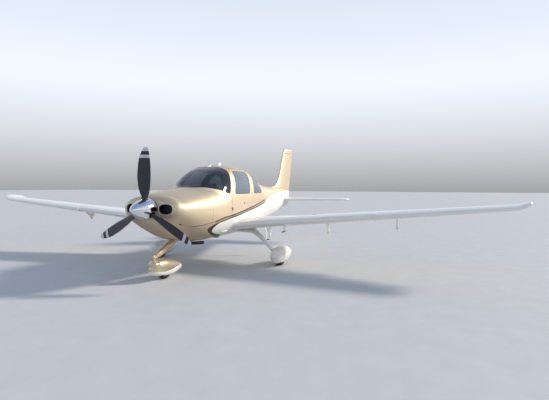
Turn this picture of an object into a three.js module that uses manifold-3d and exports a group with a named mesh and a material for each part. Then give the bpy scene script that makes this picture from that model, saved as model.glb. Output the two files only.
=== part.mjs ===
// A four-seat composite light aircraft with fixed tricycle gear, parked on its wheels.
// Millimetres, +Z up, nose towards +X, left wing towards +Y, origin on the ground under the
// middle of the aircraft. Stations are counted back from the tip of the spinner.

import * as THREE from "three";
import { mergeVertices } from "three/addons/utils/BufferGeometryUtils.js";
import Module from "manifold-3d";

const wasm = await Module();
wasm.setup();

// Driving dimensions
const length = 7920; // spinner tip to the rudder's upper corner
const span = 11680; // over the wing tip lights
const propellerRadius = 990;
const propellerHeight = 1205; // of the propeller's axis over the ground
const seat = 0.3; // gap between two pieces that rest on each other
const clearance = 6; // gap round a moving piece
const skin = 24; // wall of the cabin, door and tail cone
const cowlWall = 10;
const glassThickness = 7;
const firewallStation = 1460;
const bulkheadStation = 4660;
const tailEndStation = 7500;
const cowlSplitHeight = 1170;
const floorHeight = 900;
const floorThickness = 14;

// A station counted back from the spinner's tip becomes an x coordinate.
const at = (station) => length / 2 - station;

// Fuselage sections; heights are over the ground. Sweep carries the upper outline back at the
// sides, which curves the foot of the windscreen.
// station, bottom, top, height of the widest line, half width, roundness above, below, sweep
const fuselageRows = [
  [452, 1026, 1352, 1204, 425, 2.3, 2.2, 0],
  [480, 980, 1385, 1204, 480, 2.3, 2.2, 0],
  [540, 926, 1418, 1202, 530, 2.35, 2.2, 0],
  [650, 852, 1448, 1196, 570, 2.4, 2.2, 150],
  [820, 757, 1474, 1187, 598, 2.5, 2.2, 280],
  [1050, 654, 1500, 1170, 618, 2.6, 2.25, 420],
  [1300, 596, 1526, 1150, 634, 2.75, 2.35, 520],
  [1480, 574, 1546, 1138, 641, 2.85, 2.5, 560],
  [1530, 569, 1566, 1136, 642, 2.9, 2.5, 570],
  [1750, 560, 1700, 1130, 646, 3.0, 2.6, 570],
  [2000, 556, 1830, 1125, 650, 3.1, 2.6, 520],
  [2250, 556, 1925, 1122, 651, 3.1, 2.6, 400],
  [2500, 556, 1984, 1120, 652, 3.0, 2.6, 230],
  [2850, 557, 2015, 1120, 651, 2.85, 2.6, 80],
  [3200, 560, 2010, 1122, 643, 2.75, 2.55, 0],
  [3600, 571, 1954, 1130, 612, 2.75, 2.45, 0],
  [4000, 592, 1840, 1145, 556, 2.55, 2.35, 0],
  [4400, 622, 1722, 1165, 485, 2.3, 2.25, 0],
  [4800, 662, 1645, 1188, 411, 2.1, 2.15, 0],
  [5300, 722, 1592, 1212, 328, 2.1, 2.1, 0],
  [6000, 815, 1556, 1228, 236, 2.1, 2.1, 0],
  [6700, 912, 1522, 1235, 160, 2.1, 2.1, 0],
  [7200, 990, 1490, 1240, 104, 2.1, 2.1, 0],
  [7400, 1030, 1470, 1242, 76, 2.1, 2.1, 0],
  [7500, 1085, 1440, 1244, 48, 2.1, 2.1, 0],
];

// Monotone cubic through one column of a table, so that it never overshoots.
function column(rows, index) {
  const s = rows.map((row) => row[0]);
  const v = rows.map((row) => row[index]);
  const rise = s.slice(1).map((_, i) => (v[i + 1] - v[i]) / (s[i + 1] - s[i]));
  const slope = s.map((_, i) => {
    if (i === 0) return rise[0];
    if (i === s.length - 1) return rise[i - 1];
    const [a, b] = [rise[i - 1], rise[i]];
    return a * b <= 0 ? 0 : (2 * a * b) / (a + b);
  });
  return (station) => {
    const last = s.length - 2;
    let i = 0;
    while (i < last && station > s[i + 1]) i++;
    const h = s[i + 1] - s[i];
    const t = Math.min(1, Math.max(0, (station - s[i]) / h));
    return (
      v[i] * (1 + 2 * t) * (1 - t) ** 2 +
      slope[i] * h * t * (1 - t) ** 2 +
      v[i + 1] * t * t * (3 - 2 * t) +
      slope[i + 1] * h * t * t * (t - 1)
    );
  };
}

const [bottomAt, topAt, middleAt, halfWidthAt, roundTopAt, roundBottomAt, sweepAt] = [
  1, 2, 3, 4, 5, 6, 7,
].map((index) => column(fuselageRows, index));

// The fuselage's radius from its middle line at a station and an angle, 0 to the left.
function fuselageRadius(station, angle) {
  const across = Math.abs(Math.cos(angle));
  const upward = Math.sin(angle);
  const above = upward >= 0;
  const rise = above
    ? topAt(station - sweepAt(station) * across ** 3) - middleAt(station)
    : middleAt(station) - bottomAt(station);
  const power = above ? roundTopAt(station) : roundBottomAt(station);
  const sum = (across / halfWidthAt(station)) ** power + (Math.abs(upward) / rise) ** power;
  return sum ** (-1 / power);
}

// Half width of the fuselage at a station and a height.
function fuselageSide(station, height) {
  let low = 0;
  let high = Math.PI / 2;
  const sign = height >= middleAt(station) ? 1 : -1;
  const target = Math.abs(height - middleAt(station));
  for (let i = 0; i < 40; i++) {
    const angle = (low + high) / 2;
    if (fuselageRadius(station, sign * angle) * Math.sin(angle) < target) low = angle;
    else high = angle;
  }
  return fuselageRadius(station, sign * low) * Math.cos(low);
}

// Solids

function solidOf(geometry) {
  const bare = geometry.clone();
  bare.deleteAttribute("normal");
  bare.deleteAttribute("uv");
  const merged = mergeVertices(bare, 1e-3);
  const triVerts = Uint32Array.from(merged.index.array);
  const vertProperties = Float32Array.from(merged.attributes.position.array);
  return new wasm.Manifold(new wasm.Mesh({ numProp: 3, vertProperties, triVerts }));
}

// A closed solid through rings of equal length; flat maps a point to the plane of the end caps.
function loft(rings, flat) {
  const count = rings[0].length;
  const positions = rings.flat().flatMap((p) => [p.x, p.y, p.z]);
  const faces = [];
  for (let i = 0; i + 1 < rings.length; i++)
    for (let j = 0; j < count; j++) {
      const next = (j + 1) % count;
      const [a, b] = [i * count + j, i * count + next];
      const [c, d] = [a + count, b + count];
      faces.push([a, b, d], [a, d, c]);
    }
  const lid = (ring) => THREE.ShapeUtils.triangulateShape(rings[ring].map(flat), []);
  const area = THREE.ShapeUtils.area(rings[0].map(flat));
  const lastRing = (rings.length - 1) * count;
  const turn = ([a, b, c]) => [a, c, b];
  // Earcut keeps the ring's own direction, so the first lid is turned and the last one isn't.
  const wound = (list, ring) =>
    list.map((t) => {
      const [p, q, r] = t.map((k) => flat(rings[ring][k]));
      const sign = (q.x - p.x) * (r.y - p.y) - (q.y - p.y) * (r.x - p.x);
      return Math.sign(sign) === Math.sign(area) ? t : turn(t);
    });
  faces.push(...wound(lid(0), 0).map(turn));
  const upper = wound(lid(rings.length - 1), rings.length - 1);
  faces.push(...upper.map((t) => t.map((k) => k + lastRing)));
  const at3 = (k) => new THREE.Vector3().fromArray(positions, 3 * k);
  const volume = faces.reduce((sum, [a, b, c]) => sum + at3(a).dot(at3(b).cross(at3(c))), 0);
  const triVerts = Uint32Array.from(volume < 0 ? faces.map(turn).flat() : faces.flat());
  const vertProperties = Float32Array.from(positions);
  return new wasm.Manifold(new wasm.Mesh({ numProp: 3, vertProperties, triVerts }));
}

const acrossPlane = (p) => new THREE.Vector2(p.y, p.z);
const sidePlane = (p) => new THREE.Vector2(p.x, p.z);
const floorPlane = (p) => new THREE.Vector2(p.x, p.y);

function box(x0, x1, y0, y1, z0, z1) {
  const geometry = new THREE.BoxGeometry(Math.abs(x1 - x0), Math.abs(y1 - y0), Math.abs(z1 - z0));
  return solidOf(geometry.translate((x0 + x1) / 2, (y0 + y1) / 2, (z0 + z1) / 2));
}

// A cylinder or cone between two points.
function rod(from, to, radius, endRadius = radius, sides = 16) {
  const [a, b] = [new THREE.Vector3(...from), new THREE.Vector3(...to)];
  const along = b.clone().sub(a);
  const geometry = new THREE.CylinderGeometry(endRadius, radius, along.length(), sides);
  const up = new THREE.Vector3(0, 1, 0);
  geometry.applyQuaternion(new THREE.Quaternion().setFromUnitVectors(up, along.normalize()));
  const middle = a.add(b).multiplyScalar(0.5);
  return solidOf(geometry.translate(middle.x, middle.y, middle.z));
}

// A closed outline of [station, height] corners, each rounded by the same radius.
function roundedShape(corners, radius) {
  const points = corners.map(([station, height]) => new THREE.Vector2(at(station), height));
  const shape = new THREE.Shape();
  points.forEach((corner, i) => {
    const before = points[(i + points.length - 1) % points.length];
    const after = points[(i + 1) % points.length];
    const toBefore = before.clone().sub(corner);
    const toAfter = after.clone().sub(corner);
    const cut = Math.min(radius, toBefore.length() * 0.45, toAfter.length() * 0.45);
    const start = corner.clone().add(toBefore.setLength(cut));
    const end = corner.clone().add(toAfter.setLength(cut));
    if (i === 0) shape.moveTo(start.x, start.y);
    else shape.lineTo(start.x, start.y);
    if (cut > 0.5) shape.quadraticCurveTo(corner.x, corner.y, end.x, end.y);
  });
  return shape;
}

// Moves every side of an outline of [station, height] corners inwards by a distance.
function inset(corners, distance) {
  const points = corners.map(([s, h]) => new THREE.Vector2(s, h));
  const turnSign = Math.sign(THREE.ShapeUtils.area(points));
  const count = points.length;
  const side = (i) => {
    const [a, b] = [points[(i + count) % count], points[(i + 1) % count]];
    const along = b.clone().sub(a).normalize();
    const inward = new THREE.Vector2(-along.y, along.x).multiplyScalar(turnSign * distance);
    return { start: a.clone().add(inward), along };
  };
  return points.map((_, i) => {
    const [p, q] = [side(i - 1), side(i)];
    const cross = p.along.cross(q.along);
    if (Math.abs(cross) < 1e-3) return [q.start.x, q.start.y];
    const t = q.start.clone().sub(p.start).cross(q.along) / cross;
    const corner = p.start.clone().addScaledVector(p.along, t);
    return [corner.x, corner.y];
  });
}

// An outline seen from the side, carried across from y0 to y1.
function sidePrism(corners, radius, y0, y1, curveSegments = 3) {
  const depth = Math.abs(y1 - y0);
  const options = { depth, bevelEnabled: false, curveSegments };
  const geometry = new THREE.ExtrudeGeometry(roundedShape(corners, radius), options);
  return solidOf(geometry.rotateX(Math.PI / 2).translate(0, Math.max(y0, y1), 0));
}

// Fuselage solids

function fuselageSolid(from, to, offset, step = 300, sides = 24) {
  const stations = [from, to];
  for (const [station] of fuselageRows)
    if (station > from + 20 && station < to - 20) stations.push(station);
  stations.sort((a, b) => a - b);
  for (let i = 0; i + 1 < stations.length; i++)
    if (stations[i + 1] - stations[i] > 1.9 * step)
      stations.splice(i + 1, 0, (stations[i] + stations[i + 1]) / 2);
  return loft(
    stations.map((station) =>
      Array.from({ length: sides }, (_, i) => {
        const angle = ((i + 0.5) / sides) * 2 * Math.PI;
        const radius = fuselageRadius(station, angle) + offset;
        const height = middleAt(station) + radius * Math.sin(angle);
        return new THREE.Vector3(at(station), radius * Math.cos(angle), height);
      }),
    ),
    acrossPlane,
  );
}

const outside = 900; // further out than any part of the fuselage

// Outlines seen from the side: [station, height] corners
const windscreenOutline = [
  [1492, 2200],
  [1492, 1556],
  [1700, 1556],
  [1900, 1512],
  [2060, 1450],
  [2155, 1428],
  [2203, 1478],
  [2290, 1640],
  [2370, 1770],
  [2450, 1900],
  [2450, 2200],
];
const doorOutline = [
  [2195, 1005],
  [2235, 1445],
  [2545, 1935],
  [3385, 1935],
  [3235, 1420],
  [3120, 1005],
];
const doorWindowOutline = [
  [2355, 1425],
  [2575, 1890],
  [3308, 1890],
  [3110, 1425],
];
const rearWindowOutline = [
  [3340, 1425],
  [3507, 1862],
  [3765, 1806],
  [4040, 1590],
  [4095, 1500],
  [4020, 1425],
];
const windowRounding = 80;
const doorRounding = 90;

// The hollow of the cabin, from one station to another, shrunk by a gap.
function cabinRoom(from, to, gap) {
  const hollow = fuselageSolid(firewallStation - 20, bulkheadStation + 20, -skin - gap);
  return hollow.intersect(box(at(to), at(from), -outside, outside, 0, 3 * outside));
}

// The doors' edges slope along the way the doors move off: aft and up for each unit outwards.
const doorWay = { aft: 0.27, up: 0.14 };
const doorGap = 8;

// An outline on the skin of one side, carried in and out along the way its door opens.
function doorPrism(corners, side) {
  const outline = roundedShape(corners, doorRounding).getPoints(3);
  const points = [];
  outline.slice(0, -1).forEach((p, i) => {
    const q = outline[i + 1];
    const pieces = Math.max(1, Math.round(p.distanceTo(q) / 220));
    for (let k = 0; k < pieces; k++) points.push(p.clone().lerp(q, k / pieces));
  });
  const ring = (reach) =>
    points.map((p) => {
      const y = fuselageSide(length / 2 - p.x, p.y) + reach;
      return new THREE.Vector3(p.x - doorWay.aft * reach, side * y, p.y + doorWay.up * reach);
    });
  return loft([ring(-120), ring(400)], sidePlane);
}

function cabinShell() {
  const doorHole = inset(doorOutline, -doorGap);
  return fuselageSolid(firewallStation + seat, bulkheadStation, 0)
    .subtract(cabinRoom(firewallStation - 10, bulkheadStation + 10, 0))
    .subtract(sidePrism(windscreenOutline, 40, -outside, outside))
    .subtract(doorPrism(doorHole, 1))
    .subtract(doorPrism(doorHole, -1))
    .subtract(sidePrism(rearWindowOutline, windowRounding, -outside, outside))
    .subtract(wingSolid(seat))
    .subtract(gearLegSolid(1, seat))
    .subtract(gearLegSolid(-1, seat))
    .subtract(knuckleNotch(1, doorHinge.knuckles[0]))
    .subtract(knuckleNotch(1, doorHinge.knuckles[1]))
    .subtract(knuckleNotch(-1, doorHinge.knuckles[0]))
    .subtract(knuckleNotch(-1, doorHinge.knuckles[1]))
    .add(doorPins(1, doorHinge.knuckles[0]))
    .add(doorPins(1, doorHinge.knuckles[1]))
    .add(doorPins(-1, doorHinge.knuckles[0]))
    .add(doorPins(-1, doorHinge.knuckles[1]));
}

function pane(corners, rounding, side) {
  const [y0, y1] = side === 0 ? [-outside, outside] : [0, side * outside];
  return fuselageSolid(firewallStation - 100, bulkheadStation, 0)
    .subtract(fuselageSolid(firewallStation - 120, bulkheadStation + 20, -glassThickness))
    .intersect(sidePrism(inset(corners, seat), rounding, y0, y1));
}

function doorPanel(side) {
  return fuselageSolid(firewallStation + 200, bulkheadStation, 0)
    .subtract(fuselageSolid(firewallStation + 180, bulkheadStation + 20, -skin))
    .intersect(doorPrism(doorOutline, side))
    .subtract(sidePrism(doorWindowOutline, windowRounding, -outside, outside))
    .subtract(doorNotch(side, doorHinge.knuckles[0]))
    .subtract(doorNotch(side, doorHinge.knuckles[1]))
    .add(doorKnuckle(side, doorHinge.knuckles[0]))
    .add(doorKnuckle(side, doorHinge.knuckles[1]));
}

// Door hinge: an axis just outside the front edge, leaning in at the top so the door rises.
const doorHinge = { station: 2203, height: 1220, lean: 8, knuckles: [1145, 1295] };
const doorHingePoint = (side) => {
  const y = fuselageSide(doorHinge.station, doorHinge.height) + 3;
  return new THREE.Vector3(at(doorHinge.station), side * y, doorHinge.height);
};
const doorHingeAxis = (side) => {
  const lean = THREE.MathUtils.degToRad(doorHinge.lean);
  return new THREE.Vector3(0, -side * Math.sin(lean), Math.cos(lean));
};
const doorPin = { radius: 5, half: 26, knuckle: 10, bore: 5.55 };

// A rod on the hinge's axis, from one distance along it to another.
function doorHingeRod(side, low, high, radius) {
  const ends = [low, high].map((height) =>
    doorHingePoint(side)
      .addScaledVector(doorHingeAxis(side), height - doorHinge.height)
      .toArray(),
  );
  return rod(ends[0], ends[1], radius, radius, 12);
}

// The shell's half of one hinge: a pin between two lugs.
function doorPins(side, height) {
  const { radius, half } = doorPin;
  const y = doorHingePoint(side).addScaledVector(doorHingeAxis(side), height - doorHinge.height).y;
  const [x0, x1] = [at(doorHinge.station + 7), at(doorHinge.station - 34)];
  const lug = (low) => box(x0, x1, y - side * 21, y + side * 7, low, low + 9);
  return doorHingeRod(side, height - half, height + half, radius)
    .add(lug(height - half - 1))
    .add(lug(height + half - 8));
}

// The room that a knuckle takes at the edge of the shell.
function knuckleNotch(side, height) {
  const y = doorHingePoint(side).y;
  const [low, high] = [height - doorPin.half + 8, height + doorPin.half - 8];
  return box(at(doorHinge.station + 40), at(doorHinge.station - 17), y - side * 60, y + side * 60, low, high);
}

// The room that the lugs take at the edge of the door.
function doorNotch(side, height) {
  const y = doorHingePoint(side).y;
  const [low, high] = [height - doorPin.half - 8, height + doorPin.half + 8];
  return box(at(doorHinge.station + 16), at(doorHinge.station - 40), y - side * 60, y + side * 60, low, high);
}

// The door's half: a bored knuckle with an arm to the panel.
function doorKnuckle(side, height) {
  const { half, knuckle, bore } = doorPin;
  const low = height - half + 10;
  const high = height + half - 10;
  const y = doorHingePoint(side).addScaledVector(doorHingeAxis(side), height - doorHinge.height).y;
  const [x0, x1] = [at(doorHinge.station + 52), at(doorHinge.station + 5)];
  return box(x0, x1, y - side * 20, y + side * 4, low + 2, high - 2)
    .add(doorHingeRod(side, low, high, knuckle))
    .subtract(doorHingeRod(side, low - 20, high + 20, bore));
}

// Cowlings: a shell round the engine, split at the side, with two air inlets.
const inlet = { across: 302, height: 1210, halfWidth: 118, halfHeight: 77 };
const cowlMouthStation = 452;

function ellipseRod(side, halfWidth, halfHeight, from, to) {
  const geometry = new THREE.CylinderGeometry(1, 1, 1, 20).rotateZ(-Math.PI / 2);
  geometry.scale(to - from, halfWidth, halfHeight);
  geometry.translate(at((from + to) / 2), side * inlet.across, inlet.height);
  return solidOf(geometry);
}

function cowlShell() {
  const rear = firewallStation - seat;
  const inner = fuselageSolid(cowlMouthStation + 14, rear + 30, -cowlWall);
  const shaftHole = rod([at(400), 0, propellerHeight], [at(600), 0, propellerHeight], 90, 90, 24);
  const outlet = sidePrism(
    [
      [1270, 500],
      [1270, 650],
      [1700, 650],
      [1700, 500],
    ],
    10,
    -240,
    240,
  );
  return fuselageSolid(cowlMouthStation, rear, 0)
    .subtract(inner)
    .subtract(shaftHole)
    .subtract(ellipseRod(1, inlet.halfWidth, inlet.halfHeight, 380, 620))
    .subtract(ellipseRod(-1, inlet.halfWidth, inlet.halfHeight, 380, 620))
    .subtract(outlet);
}

const wide = 2000; // larger than any section that is cut

function upperCowl() {
  return cowlShell().intersect(box(at(400), at(1600), -wide, wide, cowlSplitHeight, wide));
}

function lowerCowl() {
  const below = box(at(400), at(1600), -wide, wide, 0, cowlSplitHeight - seat);
  return cowlShell().intersect(below).subtract(noseLegBar(6));
}

function engineBlock() {
  const [front, rear] = [600, 1330];
  const shaft = rod([at(438 + seat), 0, propellerHeight], [at(front + 5), 0, propellerHeight], 55);
  return box(at(rear), at(front), -385, 385, 985, 1300).add(shaft);
}

function firewall() {
  const plate = cabinRoom(firewallStation + 2, firewallStation + 14, seat);
  const mounts = [
    [-1, 1040],
    [1, 1040],
    [-1, 1280],
    [1, 1280],
  ].map(([side, height]) =>
    rod(
      [at(1335), side * 230, height],
      [at(firewallStation + 6), side * 270, height],
      16,
      16,
      10,
    ),
  );
  return mounts.reduce((sum, mount) => sum.add(mount), plate);
}

function aftBulkhead() {
  const inside = bulkheadStation - 4;
  return cabinRoom(inside - 14, inside, seat);
}

function cabinFloor() {
  const [low, high] = [floorHeight - floorThickness, floorHeight];
  const from = firewallStation + 14 + seat;
  const to = bulkheadStation - 18 - seat;
  return cabinRoom(from, to, seat)
    .intersect(box(at(to), at(from), -wide, wide, low, high))
    .subtract(wingSolid(seat));
}

// Instrument panel: a glareshield over an upright panel, with two side yokes.
function instrumentPanel() {
  const shape = [
    [1640, 1440],
    [1640, 1475],
    [1990, 1478],
    [2030, 1462],
    [2030, 1435],
    [1965, 1425],
    [1985, 1120],
    [1955, 1120],
    [1900, 1420],
  ];
  const slab = sidePrism(shape, 6, -wide, wide, 2);
  const room = cabinRoom(firewallStation + 30, 2100, seat);
  const pedestal = box(at(2120), at(1950), -110, 110, floorHeight + seat, 1180);
  const yokes = [-1, 1].map((side) =>
    rod([at(1965), side * 480, 1290], [at(2110), side * 480, 1290], 14, 14, 10).add(
      box(at(2130), at(2100), side * 425, side * 505, 1240, 1345),
    ),
  );
  const panel = slab.intersect(room).subtract(sidePrism(doorOutline, 0, -wide, wide));
  return yokes.reduce((sum, yoke) => sum.add(yoke), panel.add(pedestal));
}

// A seat whose cushion begins at one station, over the cabin floor.
function seatSolid(frontStation, y, halfWidth, backHeight) {
  const profile = [
    [frontStation, floorHeight + seat],
    [frontStation - 10, floorHeight + 190],
    [frontStation + 30, floorHeight + 235],
    [frontStation + 380, floorHeight + 205],
    [frontStation + 500, backHeight],
    [frontStation + 560, backHeight + 10],
    [frontStation + 610, backHeight - 30],
    [frontStation + 480, floorHeight + 100],
    [frontStation + 470, floorHeight + seat],
  ];
  return sidePrism(profile, 35, y - halfWidth, y + halfWidth).subtract(wingSolid(seat));
}

// Wing: one piece from tip to tip, sections by distance out from the centre line.
const wingThickness = 0.15;
const incidence = 0.032; // fall of the chord line per unit of chord
// y, station of the leading edge, chord, height of the leading edge, drooped cuff ahead of it
const wingRows = [
  [0, 2352, 1598, 752, 0],
  [640, 2366, 1494, 808, 0],
  [3350, 2427, 1050, 1044, 0],
  [3353, 2427, 1050, 1044, 36],
  [5480, 2475, 708, 1229, 30],
  [5620, 2480, 684, 1242, 24],
  [5730, 2505, 633, 1272, 12],
  [5800, 2545, 560, 1303, 0],
  [5840, 2640, 400, 1326, 0],
];

function rowBetween(rows, y) {
  const distance = Math.abs(y);
  let i = 0;
  while (i < rows.length - 2 && distance > rows[i + 1][0]) i++;
  const t = (distance - rows[i][0]) / (rows[i + 1][0] - rows[i][0]);
  return rows[i].map((value, k) => value + t * (rows[i + 1][k] - value));
}

const halfThickness = (u, share) =>
  5 * share * (0.2969 * Math.sqrt(u) - 0.126 * u - 0.3516 * u ** 2 + 0.2843 * u ** 3 - 0.1015 * u ** 4);

// Height of a wing surface over its leading edge: sign 1 is the upper side, -1 the lower.
function surfaceHeight(u, chord, share, sign, camber = 0.02) {
  const middle = 4 * camber * u * (1 - u) - incidence * u;
  return (middle + sign * Math.max(halfThickness(u, share), 0.0012)) * chord;
}

function wingRing(row, side, grow, points = 10) {
  const [y, lead, chord, height, cuff] = row;
  const place = (u, sign) => {
    const droop = cuff * Math.max(0, 1 - u / 0.25) ** 2;
    const x = at(lead + u * chord) + droop + grow * (1 - 2 * u);
    const z = height - 0.4 * droop + surfaceHeight(u, chord, wingThickness, sign) + sign * grow;
    return new THREE.Vector3(x, side * y, z);
  };
  const spread = Array.from({ length: points }, (_, i) => (1 - Math.cos((i / (points - 1)) * Math.PI)) / 2);
  const upper = spread.map((u) => place(u, 1)).reverse();
  const lower = spread.slice(grow > 0 ? 0 : 1).map((u) => place(u, -1));
  return [...upper, ...lower];
}

function wingSolid(grow) {
  const left = wingRows.slice(1).map((row) => wingRing(row, 1, grow));
  const right = wingRows.slice(1).map((row) => wingRing(row, -1, grow));
  return loft([...right.reverse(), wingRing(wingRows[0], 1, grow), ...left], sidePlane);
}

// Control surfaces: the part of the wing behind a hinge line, with a round nose.
const flapSpan = [690, 3690];
const aileronSpan = [3720, 5400];
const hingeShare = 0.76; // of the chord

function hingeAt(y) {
  const [, lead, chord, height] = rowBetween(wingRows, y);
  const top = surfaceHeight(hingeShare, chord, wingThickness, 1);
  const bottom = surfaceHeight(hingeShare, chord, wingThickness, -1);
  return {
    station: lead + hingeShare * chord,
    height: height + (top + bottom) / 2,
    radius: (top - bottom) / 2,
    lead,
    chord,
    base: height,
  };
}

function controlRing(y, side) {
  const h = hingeAt(y);
  const back = (u, sign) =>
    new THREE.Vector3(
      at(h.lead + u * h.chord),
      side * y,
      h.base + surfaceHeight(u, h.chord, wingThickness, sign),
    );
  const shares = [1, 0.94, 0.85];
  const nose = Array.from({ length: 9 }, (_, i) => {
    const angle = Math.PI / 2 - (i / 8) * Math.PI;
    const x = at(h.station) + h.radius * Math.cos(angle);
    return new THREE.Vector3(x, side * y, h.height + h.radius * Math.sin(angle));
  });
  return [
    ...shares.map((u) => back(u, 1)),
    ...nose,
    ...shares.map((u) => back(u, -1)).reverse(),
  ];
}

// The bay that a control surface turns in, cut from the wing.
function bayRing(y, side) {
  const h = hingeAt(y);
  const radius = h.radius + clearance;
  const arc = Array.from({ length: 9 }, (_, i) => {
    const angle = Math.PI / 2 - (i / 8) * Math.PI;
    const x = at(h.station) + radius * Math.cos(angle);
    return new THREE.Vector3(x, side * y, h.height + radius * Math.sin(angle));
  });
  const behind = at(h.station) - 600;
  return [
    new THREE.Vector3(behind, side * y, h.height + radius + 60),
    ...arc,
    new THREE.Vector3(behind, side * y, h.height - radius - 60),
  ];
}

// The ring of a straight surface in the plane through its hinge that is square to the hinge line,
// so that the end of the surface keeps its distance from the wing as it turns.
function squareRing(ringAt, y, side) {
  const [near, far] = [ringAt(y - 40, side), ringAt(y + 40, side)];
  const [a, b] = [hingeAt(y - 40), hingeAt(y + 40)];
  const axis = new THREE.Vector3(a.station - b.station, side * 80, b.height - a.height);
  const h = hingeAt(y);
  const middle = new THREE.Vector3(at(h.station), side * y, h.height);
  return near.map((p, i) => {
    const along = far[i].clone().sub(p);
    const share = middle.clone().sub(p).dot(axis) / along.dot(axis);
    return p.clone().addScaledVector(along, share);
  });
}

const controlSurface = ([from, to], side) =>
  loft([squareRing(controlRing, from, side), squareRing(controlRing, to, side)], sidePlane);
const controlBay = ([from, to], side) =>
  loft(
    [squareRing(bayRing, from - clearance, side), squareRing(bayRing, to + clearance, side)],
    sidePlane,
  );

// External flap hinges under the wing
const flapHinges = [955, 2290, 3665];
const flapPivotDrop = [325, 282]; // below the flap's nose at each end of its span
const hingePlate = 14;

// The flap turns about one straight line below it.
function flapPivot(y) {
  const [a, b] = flapSpan.map(hingeAt);
  const t = (y - flapSpan[0]) / (flapSpan[1] - flapSpan[0]);
  const [low, high] = [a.height - flapPivotDrop[0], b.height - flapPivotDrop[1]];
  return { station: a.station + t * (b.station - a.station), height: low + t * (high - low) };
}

// A rod on the line that the flap turns about.
function flapRod(from, to, side, radius) {
  const ends = [from, to].map((y) => [at(flapPivot(y).station), side * y, flapPivot(y).height]);
  return rod(ends[0], ends[1], radius, radius, 12);
}

// A plate under the wing, with the pin that the flap turns on.
function flapBracket(y, side) {
  const p = flapPivot(y);
  const h = hingeAt(y);
  const outline = [
    [h.station - 330, h.height - 20],
    [h.station - 85, h.height - 20],
    [h.station - 82, h.height - 60],
    [p.station + 24, p.height + 30],
    [p.station + 24, p.height - 24],
    [p.station - 26, p.height - 26],
    [p.station - 60, p.height + 40],
    [h.station - 250, h.height - 110],
  ];
  const plate = sidePrism(outline, 16, side * y, side * (y + hingePlate));
  return plate.add(flapRod(y + 4, y - hingePlate - 8, side, 9));
}

// The flap's own plate, bored for the pin.
function flapArm(y, side) {
  const p = flapPivot(y);
  const h = hingeAt(y);
  const back = h.station + 0.13 * h.chord;
  const outline = [
    [p.station - 24, p.height + 30],
    [p.station - 24, p.height - 22],
    [p.station + 26, p.height - 24],
    [p.station + 34, p.height + 30],
    [back + 6, h.height - 50],
    [back, h.height - 8],
    [h.station + 10, h.height],
  ];
  const [near, far] = [y - 5, y - 5 - hingePlate];
  const plate = sidePrism(outline, 14, side * near, side * far);
  return plate.subtract(flapRod(near + 20, far - 20, side, 9.7));
}

// Short pins in the wing hold the aileron at both ends.
const pinRadius = 6;
const pinLength = 30;

function aileronPins(side, radius, reach) {
  const [from, to] = aileronSpan;
  const [a, b] = [hingeAt(from), hingeAt(to)];
  const along = (y) => {
    const t = (y - from) / (to - from);
    const station = a.station + t * (b.station - a.station);
    return [at(station), side * y, a.height + t * (b.height - a.height)];
  };
  return [
    rod(along(from - clearance - 20), along(from + reach), radius, radius, 12),
    rod(along(to - reach), along(to + clearance + 20), radius, radius, 12),
  ];
}

function navLightBox(side, grow) {
  const [y0, y1] = [side * (5745 - grow), side * 5900];
  return box(at(2400), at(2640 + grow), y0, y1, 1200, 1400);
}

function wing() {
  let solid = wingSolid(0);
  for (const side of [1, -1]) {
    solid = solid.subtract(controlBay(flapSpan, side));
    solid = solid.subtract(controlBay(aileronSpan, side));
    for (const pin of aileronPins(side, pinRadius, pinLength)) solid = solid.add(pin);
    for (const y of flapHinges) solid = solid.add(flapBracket(y, side));
    solid = solid.subtract(navLightBox(side, seat));
    solid = solid.subtract(gearLegSolid(side, seat));
  }
  return solid;
}

const navLight = (side) => wingSolid(0).intersect(navLightBox(side, 0));

function flap(side) {
  let solid = controlSurface(flapSpan, side);
  for (const y of flapHinges) solid = solid.add(flapArm(y, side));
  return solid;
}

function aileron(side) {
  let solid = controlSurface(aileronSpan, side);
  for (const hole of aileronPins(side, pinRadius + 0.5, pinLength + 4)) solid = solid.subtract(hole);
  return solid;
}

// Tail surfaces: plain symmetric sections between a root row and a tip row
const tailThickness = 0.11;
const stabiliserHeight = 1202;
const stabiliserHalfSpan = 1947;
const elevatorHingeStation = 7330;
const elevatorRoot = 170;
const torqueTube = 15;
const tailGap = 8; // between a tail surface and the nose of its control surface

function symmetricHalf(u, chord, least = 2) {
  return Math.max(halfThickness(u, tailThickness) * chord, least);
}

// The front part of a tail section, closed by a flat face at the share "cut" of the chord.
function tailRing(lead, chord, cut, place, grow = 0, points = 9) {
  const bend = (i) => 1 - Math.cos(((i / (points - 1)) * Math.PI) / 2);
  const shares = Array.from({ length: points }, (_, i) => cut * bend(i));
  const point = (u, sign) => {
    const station = lead + u * chord + grow * ((2 * u) / cut - 1);
    return place(station, sign * (symmetricHalf(u, chord, 0) + grow));
  };
  const upper = shares.map((u) => point(u, 1)).reverse();
  return [...upper, ...shares.slice(grow > 0 ? 0 : 1).map((u) => point(u, -1))];
}

// y, station of the leading edge, station of the trailing edge
const stabiliserRows = [
  [0, 6665, 7625],
  [1860, 7040, 7622],
  [1925, 7085, 7618],
  [1947, 7150, 7612],
];

function stabiliser(grow) {
  const rings = [];
  const rows = [...stabiliserRows.slice(1).reverse().map(([y, a, b]) => [-y, a, b]), ...stabiliserRows];
  for (const [y, lead, trail] of rows) {
    const chord = trail - lead;
    const radius = symmetricHalf((elevatorHingeStation - lead) / chord, chord);
    const cut = (elevatorHingeStation - radius - tailGap - lead) / chord;
    const place = (station, z) => new THREE.Vector3(at(station), y, stabiliserHeight + z);
    rings.push(tailRing(lead, chord, cut, place, grow));
  }
  return loft(rings, sidePlane);
}

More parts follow.
